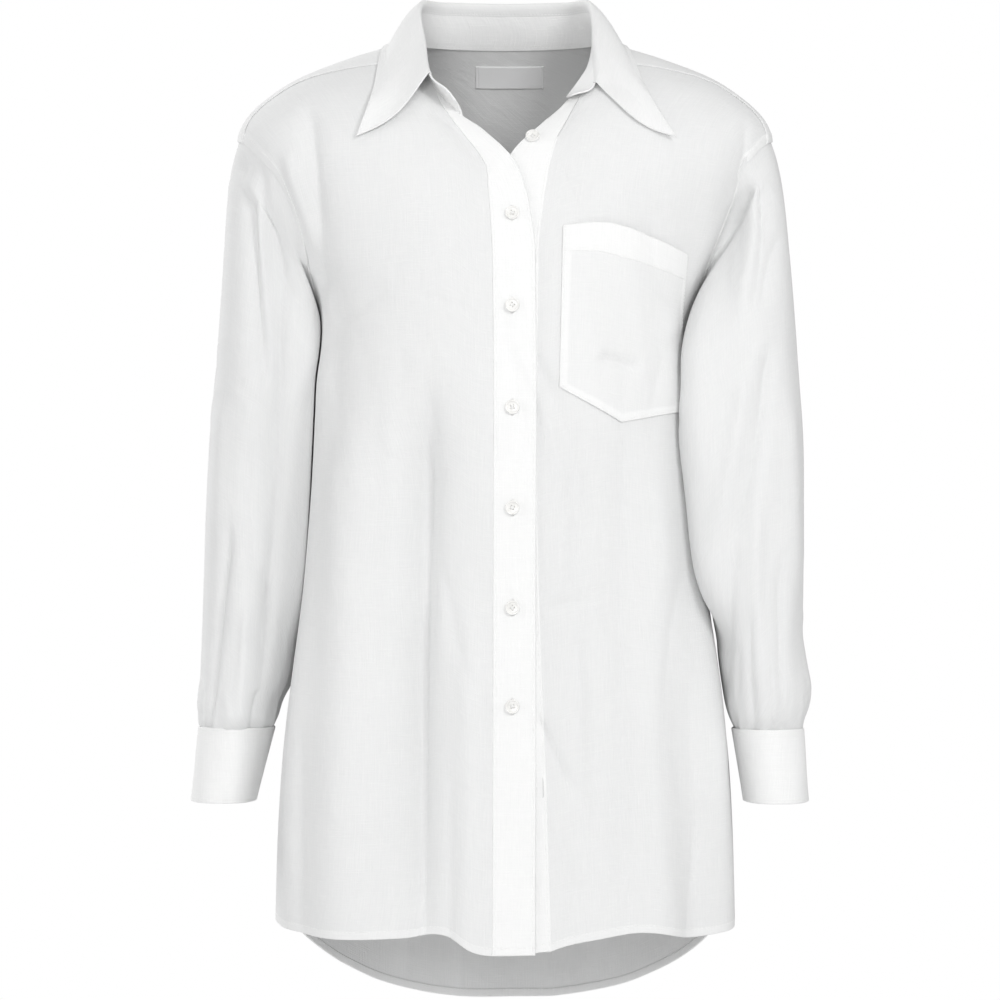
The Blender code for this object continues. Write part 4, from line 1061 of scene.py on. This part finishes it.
def gathers(share, z, foot, seed):
    """Small pleats let into the cuff: seeded ridges round the sleeve that fade upwards."""
    rng = np.random.default_rng(seed)
    height = 0.0
    for at in np.arange(PLEATS) / PLEATS:
        at = at + rng.uniform(-0.025, 0.025)
        long, tall = rng.uniform(0.030, 0.095), rng.uniform(0.0006, 0.0018) * rng.choice((-1, 1))
        half, drift = rng.uniform(0.010, 0.020), rng.uniform(-0.25, 0.25)
        off = (share - at - drift * (z - foot) + 0.5) % 1.0 - 0.5
        height = height + tall * bell(off, 0, half) * (1 - ease(z - foot, 0.0, long))
    return height


def sleeve_points(side, share, cap, depths):
    """A sleeve's surface. From each point of the armhole a line leaves along the shoulder's
    slope and turns down into the hanging tube, whose rings are ellipses; then its creases."""
    rings = SLEEVES[side]
    closed = abs(share[-1] - share[0] - 1) < 1e-9
    root, normal, inward, leave, under = sleeve_cap(share, side)
    root = root + inward * 0.0009 + normal * (under * 0.0012)[:, None]
    turn = 2 * np.pi * share
    first_z = rings[0, 0]
    joined = tube(side, turn, first_z)
    arrive = (tube(side, turn, first_z - 0.002) - joined) / 0.002
    arrive = arrive * (root[:, 2] - first_z)[:, None]
    s = np.asarray(cap, float)[:, None, None]
    rise = s * s * (3 - 2 * s)
    upper = root * (1 - rise) + joined * rise + leave * s * (1 - s) ** 2 + arrive * s * s * (s - 1)
    middle = np.concatenate([upper, tube(side, turn[None], np.asarray(depths)[:, None])])
    z = middle[..., 2]
    centre = read_off(z, rings[::-1, 0], rings[::-1, 1:3])
    away = middle - join(centre[..., 0], centre[..., 1], z - 0.02)
    normals = grid_normals(middle, away, closed)
    middle, normals, root = (array * (side, 1, 1) for array in (middle, normals, root))
    x = middle[..., 0]
    front = ease(-normals[..., 1], -0.15, 0.30)
    behind = [(side * a, b, side * c, d, side * e, *rest) for a, b, c, d, e, *rest in SLEEVE_BACK]
    small = strewn(20 + side, 46, sorted((side * 265, side * 165)), (-590, -90),
                   (4 * side, 34), (18, 60), (2.5, 5), (0.10, 0.45))
    height = (front * crease_height(x, z, SLEEVE_FRONT[side])
              + (1 - front) * crease_height(x, z, behind)
              + crease_height(x + 0.6 * middle[..., 1], z, small)
              + gathers(share[None], z, rings[-1, 0], 30 + side)
              + swell(x * 1.2 + middle[..., 1], z, 40 + side, 0.0011))
    distance = np.linalg.norm(middle - root, axis=-1)
    height = height * (0.1 + 0.9 * ease(distance, 0.0, 0.020))
    under_arm = ease(-normals[..., 0] * side, 0.15, 0.6) * ease(z, -0.40, -0.30)
    from_seam = ease(distance, 0.0, 0.030)
    height = height * (1 - under_arm) + 0.0080 * under_arm * from_seam
    return off_body(middle + normals * height[..., None], side, from_seam), normals


def cuff_points(side, share, v, wound=1.0):
    """A cuff's surface: an ellipse that narrows downwards and winds outwards, so that one end
    laps over the other. Share counts round from the opening; v runs from the top down."""
    turn = 2 * np.pi * (CUFF_OPENING - CUFF_LAP / 2 + share)
    v = v[:, None]
    centre_x, centre_y, z, half_x, half_y = (a * (1 - v) + b * v for a, b in zip(*CUFFS[side]))
    wave = 0.0007 * np.sin(3 * turn + 2 * v) + 0.0005 * np.sin(5 * turn - 3 * v)
    half_x, half_y = half_x + wave, half_y + wave
    middle = join(centre_x + half_x * np.cos(turn), centre_y - half_y * np.sin(turn), z)
    normals = grid_normals(middle, join(np.cos(turn), -np.sin(turn), 0)[None])
    wind = wound * (share - 0.5) * (DOUBLED + 0.0005)
    middle = (middle + normals * wind[None, :, None]) * (side, 1, 1)
    return middle, normals * (side, 1, 1)


def sleeve(side):
    """A sleeve, its head tucked under the armhole's felled seam and its foot inside the cuff,
    and the placket strip beside the slit."""
    top, foot = SLEEVES[side][0, 0], SLEEVES[side][-1, 0]
    share = np.linspace(0, 1, 136)
    cap = np.concatenate([np.linspace(0, 0.06, 7), np.linspace(0.06, 1, 58)[1:-1]])
    depths = np.concatenate([np.linspace(top, -0.50, 84), np.linspace(-0.50, foot, 38)[1:]])
    middle, normals = sleeve_points(side, share, cap, depths)
    root, lift, inward, _, _ = sleeve_cap(share, side)
    tucked = np.stack([root - inward * by - lift * 0.0009 for by in (0.0050, 0.0016)])
    around = (share - (CUFF_OPENING - CUFF_LAP / 2)) % 1.0
    inside, outward = cuff_points(side, around, np.array((0.04, 0.09, 0.14)), 0.0)
    inside = inside - outward * (0.0018 + DOUBLED / 2)
    grid = np.concatenate([tucked * (side, 1, 1), middle, inside])
    grid[:, -1] = grid[:, 0]
    hint = np.concatenate([normals[:2], normals, outward])
    finish_cloth(Cloth(f"sleeve_{NAMES[side]}", grid, hint, SINGLE, closed=True))
    strip = np.linspace(*SLIT, 24)
    middle, normals = sleeve_points(side, strip, (), np.linspace(SLIT_TOP, foot - 0.001, 60))
    cloth = Cloth(f"sleeve_placket_{NAMES[side]}", middle + normals * 0.0009, normals, STRIP, 1.0)
    for edge in (*ENDS, "foot"):
        cloth.edging([edge], (edge, FOLD_STITCH))
    finish_cloth(cloth)


def cuff(side):
    """A cuff, stitched all round, with its button."""
    share = stations(0.265 * (1 + CUFF_LAP), step=0.0025) * (1 + CUFF_LAP)
    middle, normals = cuff_points(side, share, stations(0.062, step=0.0022))
    cloth = Cloth(f"cuff_{NAMES[side]}", middle, normals, DOUBLED, 1.0)
    edges = (*ENDS, "foot", "head")
    cloth.edging(edges, *((edge, EDGE_STITCH) for edge in edges), ("foot", CUFF_STITCH))
    finish_cloth(cloth)
    seat, lift = cuff_points(side, np.array((1.00, 1.0154, 1.03)), np.array((0.45, 0.5, 0.55)))
    button(f"button_cuff_{NAMES[side]}", seat[1, 1], lift[1, 1])


# ---- collar ----
def collar_curves(share):
    """Neckline, top of the stand, edge of the leaf and angle at shares of the stand's length."""
    row = smooth(share, np.linspace(0, 1, len(COLLAR)), COLLAR)
    neck = bare_form(row[:, 0], np.zeros(len(share)))
    return neck, row[:, 1:4], row[:, 4:7], row[:, 0]


def collar_stand():
    """The stand rises from the neckline to the roll, curving in a little, lower at its ends."""
    share = stations(0.47)
    neck, top, _, angle = collar_curves(share)
    k = stations(0.040, "seam", step=0.0020)[:, None, None]
    corner = np.minimum(share, 1 - share) / 0.035
    corner = 1 - 0.40 * np.clip(1 - corner, 0, 1)[None, :, None] ** 2
    outward = unit(top * (1, 1, 0))
    stand = neck * (1 - k * corner) + top * k * corner
    stand = stand - outward * 0.0020 * (4 * k * (1 - k))
    stand = stand + unit(top - neck) * (-0.0012 * (1 - k) - 0.0006 * k)
    stand = stand + form_normal(angle, 0 * angle) * 0.0008 * (1 - k)
    cloth = Cloth("collar_stand", stand, outward[None], DOUBLED, 1.0)
    cloth.edging((*ENDS, "head"), ("start", EDGE_STITCH), ("end", EDGE_STITCH),
                 ("foot", STAND_STITCH), faces=(False, True))
    finish_cloth(cloth)


def collar_leaf():
    """The leaf starts on the stand's inner face, turns over its top in a soft roll, bows out and
    falls to its edge, whose front corners are the points. It is a smooth curve through guides."""
    share = LEAF_FROM + stations(0.44, step=0.0028) * (LEAF_TO - LEAF_FROM)
    neck, roll, edge, angle = collar_curves(share)
    k = np.array((0.05, 0.12, 0.2, 0.3, 0.4, 0.5, 0.6, 0.7, 0.8, 0.9, 1.0))[:, None, None]
    leaf = roll * (1 - k) + edge * k
    away = unit((roll + edge) * (0.5, 0.5, 0) + (0, 0, 0.06))
    leaf = leaf + away * LEAF_CROWN * np.sin(np.pi * k ** 0.7)
    leaf = leaf + np.array((0, 0, 0.0016)) * (1 - k)
    from_end = np.minimum(share - LEAF_FROM, LEAF_TO - share)
    bow = LEAF_BOW * (1 - ease(from_end, 0, LEAF_BOW_REACH))
    aside = join(-0.5 * np.sign(roll[:, 0]), -0.3, -0.8)
    leaf = leaf + aside * bow[:, None] * np.sin(np.pi * k)
    leaf = clear_of_form(leaf, angle[None] + 0 * leaf[..., 0], LEAF_CLEAR)
    deep = 0.0095 - 0.0045 * (1 - ease(from_end, 0, 0.2))
    inner = [roll - unit(roll - neck) * (deep * down)[:, None] - unit(roll * (1, 1, 0)) * inwards
             for down, inwards in ((1.0, 0.0014), (0.6, 0.0016), (0.25, 0.0019))]
    guide = np.concatenate([np.array(inner), (roll + (0, 0, 0.0019))[None], leaf])
    knots = run(guide, 0).mean(1)
    fine = stations(knots[-1], step=0.0021) * knots[-1]
    leaf = smooth(fine, knots, guide.reshape(len(guide), -1)).reshape(len(fine), -1, 3)
    # 0.6: the leaf counts as mostly doubled, which lightens its painted shade.
    cloth = Cloth("collar", leaf, away[None], LEAF, 0.6)
    for side in (*ENDS, "head"):
        cloth.groove(side, EDGE_STITCH)
    rolled = slice(int((fine < knots[3]).sum()), None)
    cloth.edging(("foot", *ENDS, "head"), ("foot", FOLD_STITCH))
    for side in ENDS:
        cloth.sew(side, EDGE_STITCH, rolled)
    cloth.sew("head", EDGE_STITCH)
    finish_cloth(cloth)


# ---- pocket and label ----
def pocket_grid(shares, u, thick):
    """Part of the pocket, laid on the left front: rows run down it between its slanted mouth and
    its pointed foot, and it stands a little off the chest at the mouth."""
    foot = read_off(u, (0, 0.5, 1), POCKET_FOOT)
    v = shares[:, None, None]
    flat = along(POCKET_TOP, u)[None] * (1 - v) + foot[None] * v
    points, normals = body(seen(flat[..., 0], flat[..., 1], 1))
    arch = np.sin(np.pi * u)[None].clip(0)
    belly = arch ** 0.6 * (1 - ease(shares, 0.0, 0.45))[:, None]
    out = left_front_out(points) + SINGLE / 2 + 0.0001 + thick / 2 + 0.0022 * belly
    out = out + 0.0006 * arch ** 0.5
    return points + normals * out[..., None], normals, thick


def pocket():
    """The pocket, its edges turned and stitched down, and the doubled hem over its mouth."""
    u = places(stations(0.104, step=0.0024), [1.0, 1.0], 1.0) / 2
    edges = (*ENDS, "head")
    lines = [(edge, FOLD_STITCH) for edge in edges]
    shares = POCKET_HEM + stations(0.118, "seam", step=0.0024) * (1 - POCKET_HEM)
    cloth = Cloth("pocket", *pocket_grid(shares, u, 0.0009), 0.35)
    for edge in edges:
        # The turned edges count almost as doubled, so their painted shade is lighter.
        cloth.fold_over(edge, POCKET_TURN, 0.0003, tone=0.95)
    cloth.edging(edges, *lines)
    finish_cloth(cloth)
    shares = stations(0.0215, step=0.0020) * (POCKET_HEM + 0.012)
    cloth = Cloth("pocket_hem", *pocket_grid(shares, u, 0.0014), 1.0)
    cloth.edging(("foot", *edges), *lines)
    finish_cloth(cloth)


def label():
    """The blank label, inside the yoke under the neck seam, sewn at its two short ends."""
    u = (stations(LABEL_SIZE[0], step=0.0016) - 0.5)[None] * LABEL_SIZE[0]
    v = (stations(LABEL_SIZE[1], "seam", "seam", 0.0016) - 0.5)[:, None] * LABEL_SIZE[1]
    place = seen(u + LABEL_CENTRE[0] + 0 * v, v + LABEL_CENTRE[1] + 0 * u, -1)
    bow = 0.0004 * (1 - (2 * u / LABEL_SIZE[0]) ** 2)
    cloth = Cloth("label", *body(place, YOKE_PROUD - 0.0010 - bow), 0.0006)
    for edge in ENDS:
        cloth.edging((), (edge, FOLD_STITCH), faces=[True], pitch=0.0022, long=0.0017)
    finish_cloth(cloth, "ribbon")


# ---- buttons ----
def frame_at(seat, normal, off):
    """The point above a seat, and the right, up and outward directions there."""
    normal = unit(np.asarray(normal))
    right = unit(np.cross(normal, (0, 0, 1)))
    return np.asarray(seat) + normal * off, right, np.cross(right, normal), normal


# radius and height, as shares of the button's
FACE = [(r, 0.66) for r in np.linspace(0.0, 0.66, 15)]
BUTTON_PROFILE = np.array([
    *FACE, (0.72, 0.70), (0.77, 0.80), (0.82, 0.92), (0.87, 0.985), (0.92, 1.0), (0.96, 0.96),
    (0.985, 0.86), (1.0, 0.66), (0.985, 0.36), (0.93, 0.12), (0.80, 0.0), (0.0, 0.0)])
HOLE_OUT = 0.0015       # each hole's distance from the middle
button_bars = []        # the thread in the buttons, gathered for one mesh


def button(name, seat, normal, turn=0.3):
    """A turned button: a profile swept round, with a raised rim and a dished face in which four
    holes sink. Its thread crosses between the holes."""
    base, right, up, out = frame_at(seat, normal, DOUBLED / 2 + 0.0003)
    radius, height = BUTTON_PROFILE[:, :1], BUTTON_PROFILE[:, 1:]
    around = np.arange(48) * 2 * np.pi / 48
    x, y = radius * BUTTON_RADIUS * np.cos(around), radius * BUTTON_RADIUS * np.sin(around)
    h = height * BUTTON_THICK - 0.00025 * (1 - (radius / 0.7) ** 2).clip(0) + 0 * x
    h[-1] = 0
    spots = turn + np.pi / 4 + np.arange(4) * np.pi / 2
    for a in spots:
        hole = np.hypot(x - HOLE_OUT * math.cos(a), y - HOLE_OUT * math.sin(a))
        h[:len(FACE)] -= 0.0011 * (1 - ease(hole, 0.0004, 0.0008))[:len(FACE)]
    points = base + x[..., None] * right + y[..., None] * up + h[..., None] * out
    number = np.arange(x.size).reshape(x.shape) - (x.shape[1] - 1)
    number[0], number[-1] = 0, number[-1, 0]
    beside = np.roll(number, -1, 1)
    first = join(beside[1], number[1], number[0])
    foot = join(beside[-2], number[-1], number[-2])
    points = np.concatenate([points[0, :1], points[1:-1].reshape(-1, 3), points[-1, :1]])
    walls = quads(number[1:-1], True, (1, 2, 3, 0))
    mesh = bpy.data.meshes.new(name)
    mesh.from_pydata(points.tolist(), [], walls.tolist() + first.tolist() + foot.tolist())
    mesh.shade_smooth()
    hang(put(name, mesh), "shell", nodes=[name])
    for pair in ((0, 2), (1, 3)):
        ends = [base + (right * math.cos(spots[k]) + up * math.sin(spots[k])) * HOLE_OUT
                + out * BUTTON_THICK * 0.48 for k in pair]
        t = np.linspace(0, 1, 9)[:, None]
        bow = np.sin(np.pi * t).clip(0) ** 0.5 * out * 0.0006
        for shift in (-0.00022, 0.00022):
            aside = unit(np.cross(ends[1] - ends[0], out)) * shift
            button_bars.append((ends[0] * (1 - t) + ends[1] * t + bow + aside, out))


def thread_bars(name, bars, half=0.00022, sides=6):
    """Tubes of thread along short lines, which all have as many points."""
    lines, outs = (np.array(part) for part in zip(*bars))
    turn = (np.arange(sides) * 2 * math.pi / sides)[:, None]
    way = unit(np.gradient(lines, axis=1))
    across = unit(np.cross(way, outs[:, None]))
    up = np.cross(across, way)
    rings = (lines[:, :, None] + across[:, :, None] * (half * np.cos(turn))
             + up[:, :, None] * (half * np.sin(turn)))
    tubes(name, rings, FLIPPED)


def buttonhole(seat, normal, long=0.0125):
    """Stitches worked closely round an upright slit: short threads across both of its long
    sides, and bars across its ends."""
    base, _, _, out = frame_at(seat, normal, DOUBLED / 2)
    ahead = unit(np.array((0.0, 0.0, 1.0)) - out * out[2])
    across = np.cross(out, ahead)
    bars = []
    t = np.array((0, 0.25, 0.75, 1.0))[:, None]
    for side in (-1, 1):
        for step in np.linspace(-0.5, 0.5, 34):
            start = base + ahead * step * long + across * side * 0.0002 - out * 0.0001
            bars.append((start + across * side * 0.0011 * t + np.sin(np.pi * t) * out * 0.00028,
                         out))
    t = np.array((-1, -0.5, 0.5, 1.0))[:, None]
    for end in (-1, 1):
        for shift in (0.0002, 0.0006):
            centre = base + ahead * end * (0.5 * long + shift)
            bars.append((centre + across * 0.0012 * t + out * 0.00025 * (1 - t * t), out))
    return bars


def buttons():
    """Six fastened buttons on the upper band over their buttonholes, and the undone one on the
    lower band."""
    holes = []
    for k, z in enumerate(BUTTON_HEIGHTS):
        point, normal = body(seen(CENTRE, z, 1), BAND_PROUD)
        button(f"button_{k + 2}", point, normal, 0.25 + 0.5 * math.sin(k * 2.1))
        holes += buttonhole(point, normal)
    button("button_1", *body(seen(*UNDONE, 1), UNDER), 0.7)
    thread_bars("buttonholes", holes, 0.00014, 4)


# ---- the shirt ----
for wearer_side in (-1, 1):
    front(wearer_side)
    band(wearer_side)
    sleeve(wearer_side)
    cuff(wearer_side)
back()
yoke()
collar_stand()
collar_leaf()
pocket()
label()
buttons()
thread_bars("button_threads", button_bars)


# ---- the studio ----
def floor():
    """A pale floor far below, a square grid."""
    x, y = np.meshgrid(np.linspace(-3, 3, 5), np.linspace(-3, 3, 5))
    points = join(x, y, -1.6).reshape(-1, 3)
    mesh = bpy.data.meshes.new("floor")
    mesh.from_pydata(points.tolist(), [], quads(np.arange(25).reshape(5, 5)).tolist())
    piece = put("floor", mesh)
    f = Finish("floor")
    cloud = f.noise(f.place(), 1.5, 2.0)
    mesh.materials.append(f.finish(
        Base_Color=f.between(cloud, (0.86, 0.86, 0.86, 1), (0.89, 0.89, 0.89, 1)), Roughness=0.8))


def surround():
    """White all round: full white where the camera sees it, softer as light on the cloth."""
    world = bpy.data.worlds.new("surround")
    bpy.context.scene.world = world
    world.use_nodes = True
    tree = world.node_tree
    soft = tree.nodes["Background"]
    plain = tree.nodes.new("ShaderNodeBackground")
    for shader, strength in ((soft, 0.34), (plain, 1.0)):
        shader.inputs["Color"].default_value = (1.0, 1.0, 1.0, 1)
        shader.inputs["Strength"].default_value = strength
    path = tree.nodes.new("ShaderNodeLightPath")
    blend = tree.nodes.new("ShaderNodeMixShader")
    for source, socket in ((path.outputs["Is Camera Ray"], blend.inputs[0]),
                           (soft.outputs[0], blend.inputs[1]), (plain.outputs[0], blend.inputs[2]),
                           (blend.outputs[0], tree.nodes["World Output"].inputs["Surface"])):
        tree.links.new(source, socket)


def light(name, at, size, power):
    """A soft square lamp that faces the middle of the shirt."""
    lamp = bpy.data.lights.new(name, "AREA")
    lamp.size = size
    lamp.energy = power
    piece = put(name, lamp)
    piece.location = at
    piece.rotation_euler = (Vector((0, 0, -0.38)) - Vector(at)).to_track_quat("-Z", "Y").to_euler()


def camera():
    piece = put("camera", bpy.data.cameras.new("camera"))
    piece.data.lens = 150.0
    piece.data.sensor_width = 36.0
    piece.location = (-0.0042, -3.5, -0.382)
    piece.rotation_euler = (math.pi / 2, 0.0, 0.0)
    bpy.context.scene.camera = piece


floor()
surround()
light("key", (1.5, -2.7, 1.1), 0.9, 33.0)
light("fill", (-0.5, -3.3, 0.2), 0.9, 26.0)
light("left", (-2.8, -1.3, 0.1), 1.8, 22.0)
light("right", (2.9, -1.2, 0.0), 1.8, 15.0)
light("above", (0.2, -1.0, 2.4), 2.0, 12.0)
light("behind", (-2.0, 2.4, 1.2), 1.6, 60.0)
camera()
bpy.context.scene.view_settings.view_transform = "Standard"
